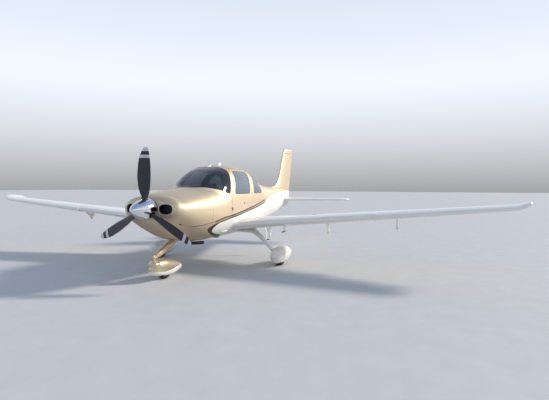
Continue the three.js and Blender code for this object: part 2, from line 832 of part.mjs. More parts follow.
function elevatorHalf(side) {
  const rings = [elevatorRoot, 1925, 1947].map((y) => {
    const [, lead, trail] = rowBetween(stabiliserRows, y);
    const chord = trail - lead;
    const radius = symmetricHalf((elevatorHingeStation - lead) / chord, chord);
    const place = (station, z) => new THREE.Vector3(at(station), side * y, stabiliserHeight + z);
    const nose = Array.from({ length: 7 }, (_, i) => {
      const angle = Math.PI / 2 - (i / 6) * Math.PI;
      return place(elevatorHingeStation - radius * Math.cos(angle), radius * Math.sin(angle));
    });
    return [place(trail, 2.5), ...nose, place(trail, -2.5)];
  });
  return loft(rings, sidePlane);
}

function elevator() {
  const reach = elevatorRoot + 20;
  const ends = [-reach, reach].map((y) => [at(elevatorHingeStation), y, stabiliserHeight]);
  return rod(ends[0], ends[1], torqueTube, torqueTube, 20)
    .add(elevatorHalf(1))
    .add(elevatorHalf(-1));
}

// Fin and rudder: sections by height. The rudder's horn runs over the top of the fin.
// height, station of the leading edge, station of the hinge, station of the trailing edge
const finRows = [
  [1180, 5900, 7288, 7560],
  [1545, 5900, 7354, 7652],
  [1575, 6180, 7359, 7660],
  [1640, 6430, 7371, 7676],
  [1740, 6585, 7389, 7700],
  [1880, 6700, 7414, 7735],
  [2150, 6838, 7463, 7802],
  [2560, 7046, 7537, 7905],
  [2640, 7092, 7551, 7918],
  [2690, 7170, 7560, 7920],
  [2715, 7300, 7565, 7905],
];
const rudderBottom = 1252;
const hornBottom = 2574;

function finRing(height, grow = 0) {
  const [, lead, hinge, trail] = rowBetween(finRows, height);
  const chord = Math.min(trail - lead, 950);
  const front = trail - chord;
  const radius = symmetricHalf((hinge - front) / chord, chord);
  const cut = (hinge - radius - tailGap - front) / chord;
  const place = (station, y) => new THREE.Vector3(at(station), y, height);
  const ring = tailRing(front, chord, cut, place, grow);
  // Below the fin's straight part, the dorsal fillet draws the nose of the section forward.
  return ring.map((p) => {
    const share = Math.max(0, (at(front + 320) * -1 + p.x) / 320);
    return new THREE.Vector3(p.x + (front - lead) * Math.min(1, share), p.y, p.z);
  });
}

function fin() {
  const heights = finRows.map(([height]) => height).filter((height) => height <= 2560);
  return loft(heights.map((height) => finRing(height)), floorPlane).subtract(
    fuselageSolid(5400, tailEndStation, seat),
  );
}

function rudderRing(height) {
  const [, lead, hinge, trail] = rowBetween(finRows, height);
  const chord = Math.min(trail - lead, 950);
  const radius = symmetricHalf((hinge - trail + chord) / chord, chord);
  const place = (station, y) => new THREE.Vector3(at(station), y, height);
  const nose = Array.from({ length: 7 }, (_, i) => {
    const angle = Math.PI / 2 - (i / 6) * Math.PI;
    return place(hinge - radius * Math.cos(angle), radius * Math.sin(angle));
  });
  return [place(trail, 2.5), ...nose, place(trail, -2.5)];
}

function rudder() {
  const heights = [rudderBottom, 1880, 2560, 2640, 2690, 2715];
  const blade = loft(heights.map(rudderRing), floorPlane);
  const horn = loft(
    [hornBottom, 2600, 2640, 2690, 2715].map((height) => {
      const [, lead, , trail] = rowBetween(finRows, height);
      const chord = trail - lead;
      const place = (station, y) => new THREE.Vector3(at(station), y, height);
      const squeeze = height > 2700 ? 0.5 : 1;
      return tailRing(lead, chord, 0.72, (s, y) => place(s, y * squeeze));
    }),
    floorPlane,
  );
  return blade.add(horn).subtract(rudderPins(pinRadius + 0.5, 34));
}

const rudderAxis = () => {
  const [low, high] = [rowBetween(finRows, rudderBottom), rowBetween(finRows, hornBottom)];
  return {
    low: new THREE.Vector3(at(low[2]), 0, rudderBottom),
    high: new THREE.Vector3(at(high[2]), 0, hornBottom),
  };
};

function rudderPins(radius, reach) {
  const { low, high } = rudderAxis();
  const along = high.clone().sub(low).normalize();
  const from = low.clone().addScaledVector(along, -40);
  const to = low.clone().addScaledVector(along, reach);
  return rod(from.toArray(), to.toArray(), radius, radius, 12);
}

function tailCone() {
  const from = bulkheadStation + seat;
  const end = tailEndStation;
  const notch = box(at(7252), at(7700), -wide, wide, 1240, wide);
  const tube = torqueTube + seat;
  const tubeHole = rod(
    [at(elevatorHingeStation), -200, stabiliserHeight],
    [at(elevatorHingeStation), 200, stabiliserHeight],
    tube / Math.cos(Math.PI / 20),
    tube / Math.cos(Math.PI / 20),
    20,
  );
  return fuselageSolid(from, end, 0)
    .subtract(fuselageSolid(from - 20, 7270, -skin * 0.6))
    .subtract(notch)
    .add(rudderPins(pinRadius, 28))
    .subtract(stabiliser(seat))
    .subtract(tubeHole);
}

// Landing gear

// Main leg: a faired spring from the belly out to the wheel.
// y, station of the middle, height, half length of the section, half thickness
const legRows = [
  [250, 3000, 655, 170, 38],
  [560, 2985, 662, 168, 42],
  [760, 2948, 655, 150, 42],
  [880, 2910, 610, 130, 36],
  [1010, 2862, 528, 116, 31],
  [1150, 2826, 405, 102, 27],
  [1262, 2808, 300, 88, 23],
  [1308, 2804, 258, 80, 21],
];

function gearLegSolid(side, grow = 0) {
  return loft(
    legRows.map(([y, station, height, half, thick], i) => {
      const [before, after] = [legRows[Math.max(i - 1, 0)], legRows[Math.min(i + 1, legRows.length - 1)]];
      const along = new THREE.Vector2(after[0] - before[0], after[2] - before[2]).normalize();
      const reach = after === legRows[i] ? grow : 0;
      return Array.from({ length: 14 }, (_, k) => {
        const angle = (k / 14) * 2 * Math.PI;
        const x = at(station) + (half + grow) * Math.cos(angle);
        const t = (thick + grow) * Math.sin(angle);
        const out = y - along.y * t + along.x * reach;
        return new THREE.Vector3(x, side * out, height + along.x * t + along.y * reach);
      });
    }),
    acrossPlaneOfLeg,
  );
}
const acrossPlaneOfLeg = (p) => new THREE.Vector2(p.x, p.z);

const mainWheel = { station: 2800, y: 1410, radius: 182, half: 74, rim: 88 };
const noseWheel = { station: 867, y: 0, radius: 162, half: 60, rim: 72 };
const axleRadius = 17;
const wheelSides = 28;

// A tyre round its axle, which runs along y, and the wheel inside it.
function tyre({ radius, half, rim }) {
  const bulge = radius - rim;
  const points = Array.from({ length: 9 }, (_, i) => {
    const angle = (1 - i / 8) * Math.PI;
    return new THREE.Vector2(rim + bulge * Math.sin(angle) ** 0.7, half * Math.cos(angle));
  });
  points[8] = new THREE.Vector2(rim, half);
  return solidOf(new THREE.LatheGeometry([...points, new THREE.Vector2(rim, -half)], wheelSides));
}

function wheelHub({ half, rim }) {
  const outer = rim - seat;
  const bore = (axleRadius + seat) / Math.cos(Math.PI / wheelSides);
  const profile = [
    [bore, -half * 0.6],
    [outer - 14, -half * 0.5],
    [outer, -half * 0.8],
    [outer, half * 0.8],
    [outer - 14, half * 0.5],
    [bore, half * 0.6],
    [bore, -half * 0.6],
  ].map(([r, y]) => new THREE.Vector2(r, y));
  return solidOf(new THREE.LatheGeometry(profile, wheelSides));
}

// Wheel fairings by distance behind the nose of the fairing.
// behind, bottom, top, half width
const mainPantRows = [
  [0, 150, 245, 46],
  [22, 100, 304, 88],
  [85, 64, 346, 117],
  [220, 46, 370, 133],
  [385, 42, 376, 137],
  [545, 50, 362, 129],
  [710, 80, 322, 102],
  [850, 122, 272, 66],
  [950, 166, 230, 26],
];
const mainPantNose = 2512;
const nosePantRows = [
  [0, 165, 232, 36],
  [22, 124, 284, 70],
  [92, 96, 332, 96],
  [204, 68, 354, 109],
  [330, 46, 350, 113],
  [450, 38, 327, 107],
  [600, 44, 286, 90],
  [750, 64, 238, 64],
  [876, 92, 184, 34],
];
const nosePantNose = 492;
const pantWall = 6;

function pantLoft(rows, nose, y, offset) {
  const trimmed = offset < 0 ? rows.slice(1, -1) : rows;
  return loft(
    trimmed.map(([behind, bottom, top, half]) =>
      Array.from({ length: 14 }, (_, k) => {
        const angle = ((k + 0.5) / 14) * 2 * Math.PI;
        const [c, s] = [Math.cos(angle), Math.sin(angle)];
        const bend = (v) => Math.sign(v) * Math.abs(v) ** 0.86;
        const across = (half + offset) * bend(c);
        const height = (bottom + top) / 2 + ((top - bottom) / 2 + offset) * bend(s);
        return new THREE.Vector3(at(nose + behind), y + across, height);
      }),
    ),
    acrossPlane,
  );
}

// The opening under a fairing lets the tyre through.
function tyreSlot(wheel, y) {
  const reach = wheel.radius + 14;
  const half = wheel.half + 10;
  return box(at(wheel.station + reach), at(wheel.station - reach), y - half, y + half, -50, 130);
}

function mainPant(side) {
  const y = side * mainWheel.y;
  const leg = gearLegSolid(side, seat);
  return pantLoft(mainPantRows, mainPantNose, y, 0)
    .subtract(pantLoft(mainPantRows, mainPantNose, y, -pantWall))
    .subtract(tyreSlot(mainWheel, y))
    .subtract(leg);
}

// Knuckle: a plate under the leg's end, with the axle through the wheel and out to the far wall.
function mainAxle(side) {
  const { station, y, radius } = mainWheel;
  const inner = side * (y - 98);
  const plate = sidePrism(
    [
      [station - 52, 274],
      [station + 52, 274],
      [station + 36, radius - 36],
      [station - 36, radius - 36],
    ],
    18,
    inner,
    inner + side * 14,
  );
  const from = [at(station), inner + side * 5, radius];
  const to = [at(station), side * (y + 112), radius];
  return plate.add(rod(from, to, axleRadius, axleRadius, 24)).subtract(gearLegSolid(side, 0.5));
}

// Nose leg: a faired tube sloping forward from the firewall to the castor bearing.
const castor = { station: 560, low: 284, high: 430, radius: 26 };
// station, height, half width, half depth
const noseLegRows = [
  [1360, 703, 36, 42],
  [1180, 633, 36, 42],
  [1000, 563, 36, 40],
  [760, 470, 36, 36],
  [632, 420, 38, 32],
  [560, 402, 40, 26],
];

function noseLegBar(grow = 0) {
  return loft(
    noseLegRows.map(([station, height, half, deep]) =>
      Array.from({ length: 14 }, (_, k) => {
        const angle = (k / 14) * 2 * Math.PI;
        const y = (half + grow) * Math.cos(angle);
        return new THREE.Vector3(at(station), y, height + (deep + grow) * Math.sin(angle));
      }),
    ),
    acrossPlane,
  );
}

function noseLeg() {
  const bearing = rod([at(castor.station), 0, 372], [at(castor.station), 0, castor.high], 40, 40, 20);
  const foot = sidePrism(
    [
      [1320, 660],
      [1390, 640],
      [firewallStation + 1.5 - seat, 640],
      [firewallStation + 1.5 - seat, 830],
      [1330, 770],
    ],
    10,
    -55,
    55,
    3,
  );
  const pin = castor.radius - 6;
  const hole = rod([at(castor.station), 0, 300], [at(castor.station), 0, 412], pin + 0.6, pin + 0.6, 24);
  return noseLegBar().add(bearing).add(foot).subtract(hole);
}

// Fork: a castor pin over a crown, with an arm each side of the wheel down to the axle.
function noseFork() {
  const { station, radius, half } = noseWheel;
  const armY = half + 14;
  const pin = rod(
    [at(castor.station), 0, castor.low],
    [at(castor.station), 0, 408],
    castor.radius - 6,
    castor.radius - 6,
    24,
  );
  const crown = sidePrism(
    [
      [castor.station - 32, 240],
      [castor.station - 26, 288],
      [castor.station + 32, 298],
      [castor.station + 84, 298],
      [castor.station + 90, 256],
    ],
    8,
    -armY - 6,
    armY + 6,
    3,
  );
  const arms = [-1, 1].map((side) =>
    sidePrism(
      [
        [castor.station + 20, 262],
        [castor.station + 86, 298],
        [station + 24, radius + 20],
        [station + 24, radius - 22],
        [station - 24, radius - 22],
        [castor.station + 60, 232],
      ],
      12,
      side * (armY - 6),
      side * (armY + 6),
      3,
    ),
  );
  const axle = rod([at(station), -armY - 4, radius], [at(station), armY + 4, radius], axleRadius, axleRadius, 24);
  const room = rod(
    [at(station), -half - 8, radius],
    [at(station), half + 8, radius],
    radius + 9,
    radius + 9,
    32,
  );
  return pin.add(crown).subtract(room).add(arms[0]).add(arms[1]).add(axle);
}

function nosePant() {
  const fork = noseFork();
  const hole = rod([at(castor.station), 0, 260], [at(castor.station), 0, 460], 26, 26, 20);
  const lug = box(at(castor.station + 86), at(castor.station + 30), -112, 112, 266, 284);
  const shell = pantLoft(nosePantRows, nosePantNose, 0, 0);
  const inner = pantLoft(nosePantRows, nosePantNose, 0, -pantWall);
  const gap = noseWheel.half + 20 + seat;
  const brackets = lug.intersect(shell).subtract(box(at(700), at(500), -gap, gap, 0, 500));
  return shell
    .subtract(inner)
    .subtract(hole)
    .subtract(tyreSlot(noseWheel, 0))
    .add(brackets)
    .subtract(fork);
}

// Propeller

// station, radius
const spinnerRows = [
  [0, 0],
  [14, 29],
  [60, 69],
  [150, 118],
  [270, 157],
  [426, 178],
];
const bladeStation = 345;

function spinnerGeometry(offset) {
  const rows = spinnerRows.map(([s, r]) => new THREE.Vector2(Math.max(r - offset, 0), -s - offset));
  const end = spinnerRows.at(-1);
  const rear = -end[0] - (offset ? 20 : 0);
  const profile = [...rows, new THREE.Vector2(end[1] - offset, rear), new THREE.Vector2(0, rear)];
  const closed = offset ? profile : [...rows, new THREE.Vector2(0, rear)];
  return new THREE.LatheGeometry(closed.reverse(), 24).rotateZ(-Math.PI / 2);
}

function spinner() {
  const shift = (g) => solidOf(g.translate(at(0), 0, propellerHeight));
  let solid = shift(spinnerGeometry(0)).subtract(shift(spinnerGeometry(5)));
  for (const turn of bladeTurns) {
    const radial = (r) => [
      at(bladeStation),
      -r * Math.sin(turn),
      propellerHeight + r * Math.cos(turn),
    ];
    solid = solid.subtract(rod(radial(100), radial(230), 58, 58, 12));
  }
  return solid;
}

const bladeTurns = [0, 1, 2].map((k) => (k * 2 * Math.PI) / 3 - 0.02);

function propellerHub() {
  const from = (s) => [at(s), 0, propellerHeight];
  let solid = rod(from(426 + seat), from(438), 176, 176, 24).add(rod(from(290), from(430), 88, 88, 16));
  for (const turn of bladeTurns) {
    const radial = (r) => [
      at(bladeStation),
      -r * Math.sin(turn),
      propellerHeight + r * Math.cos(turn),
    ];
    solid = solid.add(rod(radial(40), radial(120), 50, 50, 12));
  }
  return solid;
}

// radius, chord, pitch in degrees, share of the chord ahead of the blade's axis, thickness share
const bladeRows = [
  [150, 78, 44, 0.5, 0.7],
  [205, 102, 42, 0.5, 0.4],
  [277, 150, 40, 0.52, 0.22],
  [400, 192, 35, 0.56, 0.15],
  [535, 210, 30, 0.58, 0.11],
  [690, 199, 25, 0.58, 0.1],
  [812, 175, 22, 0.57, 0.09],
  [905, 128, 19, 0.52, 0.08],
  [962, 88, 18, 0.46, 0.08],
  [990, 56, 18, 0.4, 0.08],
];

// A blade standing up along z with its axis at the origin.
function blade() {
  const rings = bladeRows.map(([radius, chord, pitch, ahead, thick]) => {
    const turn = THREE.MathUtils.degToRad(pitch);
    return Array.from({ length: 10 }, (_, k) => {
      const angle = (k / 10) * 2 * Math.PI;
      const along = (Math.cos(angle) / 2 + 0.5 - ahead) * chord;
      const across = (Math.sin(angle) * chord * thick) / 2;
      const x = along * Math.sin(turn) + across * Math.cos(turn);
      const y = -along * Math.cos(turn) + across * Math.sin(turn);
      return new THREE.Vector3(-x, -y, radius);
    });
  });
  return loft(rings, floorPlane).add(rod([0, 0, 120 + seat], [0, 0, 190], 42, 38, 12));
}

// Small fittings

function exhaustPipe() {
  const path = [
    [1220, 170, 1010],
    [1220, 170, 860],
    [1245, 170, 740],
    [1320, 170, 630],
    [1450, 172, 545],
    [1870, 195, 508],
  ].map(([station, y, height]) => new THREE.Vector3(at(station), y, height));
  const curve = new THREE.CatmullRomCurve3(path);
  const circle = (radius) => new THREE.Shape().absarc(0, 0, radius, 0, 2 * Math.PI);
  const sweep = (radius) => {
    const options = { steps: 9, extrudePath: curve, curveSegments: 5 };
    return solidOf(new THREE.ExtrudeGeometry(circle(radius), options));
  };
  const above = box(at(1600), at(1000), 0, 300, 985 - seat, 1200);
  return sweep(31).subtract(sweep(27.5)).subtract(above);
}

function boardingStep(side) {
  const top = fuselageSide(4030, 700);
  const [x, knee] = [at(4030), side * 640];
  const ring = (half) => [
    [top - 60, 680],
    [side * knee - 12, 585],
    [side * knee - 12, 350],
    [side * knee + 12, 350],
    [side * knee + 12, 600],
    [top - 60, 708],
  ].map(([y, z]) => new THREE.Vector3(x + half, side * y, z));
  const post = loft([ring(-28), ring(28)], acrossPlane);
  const tread = box(x - 55, x + 55, knee - side * 50, knee + side * 80, 338, 352);
  return post.add(tread).subtract(fuselageSolid(3700, 4400, seat));
}

function antenna(station, height, chord, width) {
  const base = topAt(station);
  const rings = [-12, height * 0.7, height].map((rise, i) => {
    const half = (chord / 2) * [1, 0.62, 0.42][i];
    const back = [0, height * 0.28, height * 0.4][i];
    return Array.from({ length: 10 }, (_, k) => {
      const angle = (k / 10) * 2 * Math.PI;
      const x = at(station + back) + half * Math.cos(angle);
      return new THREE.Vector3(x, half * width * Math.sin(angle), base + rise);
    });
  });
  const root = fuselageSolid(station - 300, station + 300, seat);
  return loft(rings, floorPlane).subtract(root);
}

// Assembly

const paint = (color, roughness = 0.3, metalness = 0) =>
  new THREE.MeshStandardMaterial({ color, roughness, metalness });
const materials = {
  gold: paint(0xc9a878, 0.28, 0.35),
  white: paint(0xf2f1ec, 0.3),
  glass: new THREE.MeshStandardMaterial({
    color: 0x8fa3ad,
    roughness: 0.05,
    transparent: true,
    opacity: 0.35,
  }),
  chrome: paint(0xd8dade, 0.08, 1),
  blade: paint(0x17181c, 0.45),
  tyre: paint(0x1c1c1d, 0.85),
  metal: paint(0xa9acb0, 0.4, 0.9),
  engine: paint(0x4a4b4d, 0.6, 0.6),
  trim: paint(0x2b2a29, 0.8),
  leather: paint(0xa08a70, 0.7),
  steel: paint(0x6d675f, 0.5, 0.8),
  lens: paint(0xe9eef0, 0.05),
};

function meshOf(name, solid, material) {
  const { numProp, numVert, vertProperties, triVerts } = solid.getMesh();
  const positions = new Float32Array(numVert * 3);
  for (let i = 0; i < numVert; i++)
    positions.set(vertProperties.subarray(i * numProp, i * numProp + 3), i * 3);
  const geometry = new THREE.BufferGeometry();
  geometry.setAttribute("position", new THREE.BufferAttribute(positions, 3));
  geometry.setIndex(new THREE.BufferAttribute(triVerts, 1));
  geometry.computeVertexNormals();
  const mesh = new THREE.Mesh(geometry, material);
  mesh.name = name;
  return mesh;
}

const aircraft = new THREE.Group();
const put = (name, solid, material) => aircraft.add(meshOf(name, solid, material));

put("cabin_shell", cabinShell(), materials.gold);
put("tail_cone", tailCone(), materials.white);
put("fin", fin(), materials.gold);
put("upper_cowl", upperCowl(), materials.gold);
put("lower_cowl", lowerCowl(), materials.gold);
put("engine_block", engineBlock(), materials.engine);
put("firewall", firewall(), materials.metal);
put("aft_bulkhead", aftBulkhead(), materials.trim);
put("cabin_floor", cabinFloor(), materials.trim);
put("instrument_panel", instrumentPanel(), materials.trim);
put("front_seat_left", seatSolid(2560, 280, 235, 1640), materials.leather);
put("front_seat_right", seatSolid(2560, -280, 235, 1640), materials.leather);
put("rear_seat", seatSolid(3420, 0, 430, 1560), materials.leather);
put("windscreen", pane(windscreenOutline, 40, 0), materials.glass);
put("wing", wing(), materials.white);
put("stabiliser", stabiliser(0), materials.white);
put("elevator", elevator(), materials.white);
put("rudder", rudder(), materials.gold);
put("exhaust_pipe", exhaustPipe(), materials.steel);
put("nose_leg", noseLeg(), materials.gold);
put("nose_fork", noseFork(), materials.metal);
put("nose_fairing", nosePant(), materials.gold);
put("roof_antenna_front", antenna(2510, 30, 90, 0.5), materials.white);
put("roof_antenna_rear", antenna(2930, 66, 170, 0.2), materials.white);

for (const [side, name] of [
  [1, "left"],
  [-1, "right"],
]) {
  put(`door_${name}`, doorPanel(side), materials.gold);
  put(`door_window_${name}`, pane(doorWindowOutline, windowRounding, side), materials.glass);
  put(`rear_window_${name}`, pane(rearWindowOutline, windowRounding, side), materials.glass);
  put(`flap_${name}`, flap(side), materials.white);
  put(`aileron_${name}`, aileron(side), materials.white);
  put(`wing_light_${name}`, navLight(side), materials.lens);
  put(`main_leg_${name}`, gearLegSolid(side), materials.white);
  put(`main_axle_${name}`, mainAxle(side), materials.metal);
  put(`main_fairing_${name}`, mainPant(side), materials.white);
  put(`boarding_step_${name}`, boardingStep(side), materials.white);
}

put("spinner", spinner(), materials.chrome);
put("propeller_hub", propellerHub(), materials.metal);

const propeller = new THREE.Group();
propeller.position.set(at(bladeStation), 0, propellerHeight);
bladeTurns.forEach((turn, i) => {
  const mesh = meshOf(`propeller_blade_${i + 1}`, blade(), materials.blade);
  mesh.rotation.x = turn;
  propeller.add(mesh);
});
aircraft.add(propeller);

for (const [name, wheel, y] of [
  ["nose", noseWheel, 0],
  ["main_left", mainWheel, mainWheel.y],
  ["main_right", mainWheel, -mainWheel.y],
]) {
  const axle = new THREE.Group();
  axle.position.set(at(wheel.station), y, wheel.radius);
  axle.add(meshOf(`${name}_tyre`, tyre(wheel), materials.tyre));
  axle.add(meshOf(`${name}_wheel`, wheelHub(wheel), materials.metal));
  aircraft.add(axle);
}

export default aircraft;
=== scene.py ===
from math import cos, pi, radians, sin, sqrt

import bpy
import numpy as np
from mathutils import Matrix, Vector
from mathutils.geometry import tessellate_polygon


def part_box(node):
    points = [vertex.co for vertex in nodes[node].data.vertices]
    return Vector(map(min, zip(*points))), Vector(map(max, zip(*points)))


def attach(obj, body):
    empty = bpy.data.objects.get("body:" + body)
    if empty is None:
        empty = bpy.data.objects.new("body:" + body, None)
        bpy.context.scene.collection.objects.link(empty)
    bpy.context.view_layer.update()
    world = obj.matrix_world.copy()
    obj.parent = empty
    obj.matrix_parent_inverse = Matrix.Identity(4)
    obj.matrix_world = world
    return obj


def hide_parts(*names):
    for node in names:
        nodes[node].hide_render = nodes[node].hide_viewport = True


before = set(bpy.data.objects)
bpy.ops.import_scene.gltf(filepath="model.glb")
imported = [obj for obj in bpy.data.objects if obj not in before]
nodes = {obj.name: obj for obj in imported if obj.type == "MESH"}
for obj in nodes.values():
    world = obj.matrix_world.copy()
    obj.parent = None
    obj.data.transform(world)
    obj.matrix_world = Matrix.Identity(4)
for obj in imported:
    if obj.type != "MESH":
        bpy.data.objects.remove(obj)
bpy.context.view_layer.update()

# Lengths in the tables are millimetres, as in the part's source. A station is counted back from
# the spinner's tip; heights are over the ground.
aircraft = {"length": 7920, "propellerHeight": 1205}
origin = aircraft["length"] / 2
mirrored = np.array([1, -1, 1])
sides = ((1, "left"), (-1, "right"))

# station, bottom, top, height of the widest line, half width, roundness above, below, sweep
fuselageRows = np.array([
    [452, 1026, 1352, 1204, 425, 2.3, 2.2, 0],
    [480, 980, 1385, 1204, 480, 2.3, 2.2, 0],
    [540, 926, 1418, 1202, 530, 2.35, 2.2, 0],
    [650, 852, 1448, 1196, 570, 2.4, 2.2, 150],
    [820, 757, 1474, 1187, 598, 2.5, 2.2, 280],
    [1050, 654, 1500, 1170, 618, 2.6, 2.25, 420],
    [1300, 596, 1526, 1150, 634, 2.75, 2.35, 520],
    [1480, 574, 1546, 1138, 641, 2.85, 2.5, 560],
    [1530, 569, 1566, 1136, 642, 2.9, 2.5, 570],
    [1750, 560, 1700, 1130, 646, 3.0, 2.6, 570],
    [2000, 556, 1830, 1125, 650, 3.1, 2.6, 520],
    [2250, 556, 1925, 1122, 651, 3.1, 2.6, 400],
    [2500, 556, 1984, 1120, 652, 3.0, 2.6, 230],
    [2850, 557, 2015, 1120, 651, 2.85, 2.6, 80],
    [3200, 560, 2010, 1122, 643, 2.75, 2.55, 0],
    [3600, 571, 1954, 1130, 612, 2.75, 2.45, 0],
    [4000, 592, 1840, 1145, 556, 2.55, 2.35, 0],
    [4400, 622, 1722, 1165, 485, 2.3, 2.25, 0],
    [4800, 662, 1645, 1188, 411, 2.1, 2.15, 0],
    [5300, 722, 1592, 1212, 328, 2.1, 2.1, 0],
    [6000, 815, 1556, 1228, 236, 2.1, 2.1, 0],
    [6700, 912, 1522, 1235, 160, 2.1, 2.1, 0],
    [7200, 990, 1490, 1240, 104, 2.1, 2.1, 0],
    [7400, 1030, 1470, 1242, 76, 2.1, 2.1, 0],
    [7500, 1085, 1440, 1244, 48, 2.1, 2.1, 0],
], float)


# a monotone cubic through one column of a table: each slope is twice the product of the two
# neighbouring rises over their sum, and nought where they differ in sign
def columnCurve(rows, index):
    s, v = np.asarray(rows, float)[:, 0], np.asarray(rows, float)[:, index]
    rise = np.diff(v) / np.diff(s)
    a, b = rise[:-1], rise[1:]
    total = np.where(a + b == 0, 1, a + b)
    slope = np.concatenate([[rise[0]], np.where(a * b <= 0, 0, 2 * a * b / total), [rise[-1]]])

    def curve(x):
        x = np.asarray(x, float)
        i = np.clip(np.searchsorted(s, x, side="left") - 1, 0, len(s) - 2)
        h = s[i + 1] - s[i]
        t = np.clip((x - s[i]) / h, 0, 1)
        return (v[i] * (1 + 2 * t) * (1 - t) ** 2 + slope[i] * h * t * (1 - t) ** 2
                + v[i + 1] * t * t * (3 - 2 * t) + slope[i + 1] * h * t * t * (t - 1))

    return curve


# every column of a table as a curve of its first column
def columnCurves(rows):
    return [columnCurve(rows, k) for k in range(1, len(rows[0]))]


# straight lines between the rows of a table, each row a function of the first column
def rowsBetween(rows, x):
    rows = np.asarray(rows, float)
    return [np.interp(np.abs(x), rows[:, 0], rows[:, k]) for k in range(1, rows.shape[1])]


def place(station, y, z):
    parts = np.broadcast_arrays(origin - np.asarray(station, float), y, z)
    return np.stack([np.asarray(p, float) for p in parts], -1) / 1000


(bottomAt, topAt, middleAt, halfWidthAt, roundTopAt, roundBottomAt, sweepAt) = columnCurves(fuselageRows)


# radius of the fuselage: a superellipse with one height above the middle line and one below,
# whose upper outline slides back at the sides with the cube of the cosine
def fuselageRadius(station, angle):
    across, upward = np.abs(np.cos(angle)), np.sin(angle)
    above = upward >= 0
    middle = middleAt(station)
    rise = np.where(above, topAt(station - sweepAt(station) * across ** 3) - middle,
                    middle - bottomAt(station))
    power = np.where(above, roundTopAt(station), roundBottomAt(station))
    total = (across / halfWidthAt(station)) ** power + (np.abs(upward) / rise) ** power
    return total ** (-1 / power)


# station and angle to a point of the skin
def fuselagePoint(params):
    station, angle = params[..., 0], params[..., 1]
    r = fuselageRadius(station, angle)
    return place(station, r * np.cos(angle), middleAt(station) + r * np.sin(angle))


# half width of the fuselage at a station and a height, by halving the angle
def fuselageSide(station, height):
    station, height = np.broadcast_arrays(np.asarray(station, float), np.asarray(height, float))
    sign = np.where(height >= middleAt(station), 1.0, -1.0)
    target = np.abs(height - middleAt(station))
    low, high = np.zeros(station.shape), np.full(station.shape, pi / 2)
    for _ in range(32):
        angle = (low + high) / 2
        under = fuselageRadius(station, sign * angle) * np.sin(angle) < target
        low, high = np.where(under, angle, low), np.where(under, high, angle)
    return fuselageRadius(station, sign * low) * np.cos(low)


# Mesh making

def circle(count):
    return np.linspace(0, 2 * pi, count, endpoint=False)


# all pairs of two parameters as corners, and the triangles between them
def gridPatch(us, vs):
    u, v = np.meshgrid(us, vs, indexing="ij")
    params = np.stack([u.ravel(), v.ravel()], -1)
    return params, gridFaces(len(us), len(vs))


def gridFaces(rows, columns, wrap=False):
    last = columns if wrap else columns - 1
    i, j = np.meshgrid(np.arange(rows - 1), np.arange(last), indexing="ij")
    a, b = i * columns + j, i * columns + (j + 1) % columns
    c, d = a + columns, b + columns
    return np.stack([a, c, d, a, d, b], -1).reshape(-1, 3)


# keeps the side of a patch where the field is above nought: a triangle that the edge crosses is
# cut where the field is nought, which three false-position steps find on each crossed side
def clip(patch, field):
    params, tris = patch
    value = field(params)
    keep = value > 0
    count = keep[tris].sum(1)
    cutOne, cutTwo = tris[count == 1], tris[count == 2]
    odd = np.concatenate([cutOne, cutTwo])
    if len(odd) == 0:
        return params, tris[count == 3]
    isOdd = np.concatenate([keep[cutOne], ~keep[cutTwo]])
    first = isOdd.argmax(1)
    rows = np.arange(len(odd))
    a, b, c = odd[rows, first], odd[rows, (first + 1) % 3], odd[rows, (first + 2) % 3]
    pairs = np.concatenate([np.stack([a, b], -1), np.stack([a, c], -1)])
    pairs = np.sort(pairs, 1)
    unique, where = np.unique(pairs, axis=0, return_inverse=True)
    where = where.ravel()
    p, q = params[unique[:, 0]], params[unique[:, 1]]
    low, high = value[unique[:, 0]], value[unique[:, 1]]
    s, t = np.zeros(len(unique)), np.ones(len(unique))
    for _ in range(4):
        m = s + (t - s) * np.clip(low / np.where(low == high, 1, low - high), 0.02, 0.98)
        new = field(p + (q - p) * m[:, None])
        same = np.sign(new) == np.sign(low)
        s, low = np.where(same, m, s), np.where(same, new, low)
        t, high = np.where(same, t, m), np.where(same, high, new)
    m = s + (t - s) * np.clip(low / np.where(low == high, 1, low - high), 0, 1)
    added = p + (q - p) * m[:, None]
    ab, ac = where[:len(odd)] + len(params), where[len(odd):] + len(params)
    n = len(cutOne)
    ones = np.stack([a[:n], ab[:n], ac[:n]], -1)
    twos = np.concatenate([np.stack([ab[n:], b[n:], c[n:]], -1), np.stack([ab[n:], c[n:], ac[n:]], -1)])
    return np.concatenate([params, added]), np.concatenate([tris[count == 3], ones, twos])


# a sine or cosine raised to a power with its sign kept
def powered(v, power):
    return np.sign(v) * np.abs(v) ** power


def unit(v):
    return v / np.maximum(np.linalg.norm(v, axis=-1, keepdims=True), 1e-12)


# normal of a surface: the cross product of its two slopes, by central differences
def surfaceNormals(surface, params, steps=(1.0, 1e-3)):
    du, dv = np.array([steps[0], 0]), np.array([0, steps[1]])
    along = surface(params + du) - surface(params - du)
    across = surface(params + dv) - surface(params - dv)
    return unit(np.cross(along, across))


def linked(name, data):
    made = bpy.data.objects.new(name, data)
    bpy.context.scene.collection.objects.link(made)
    return made


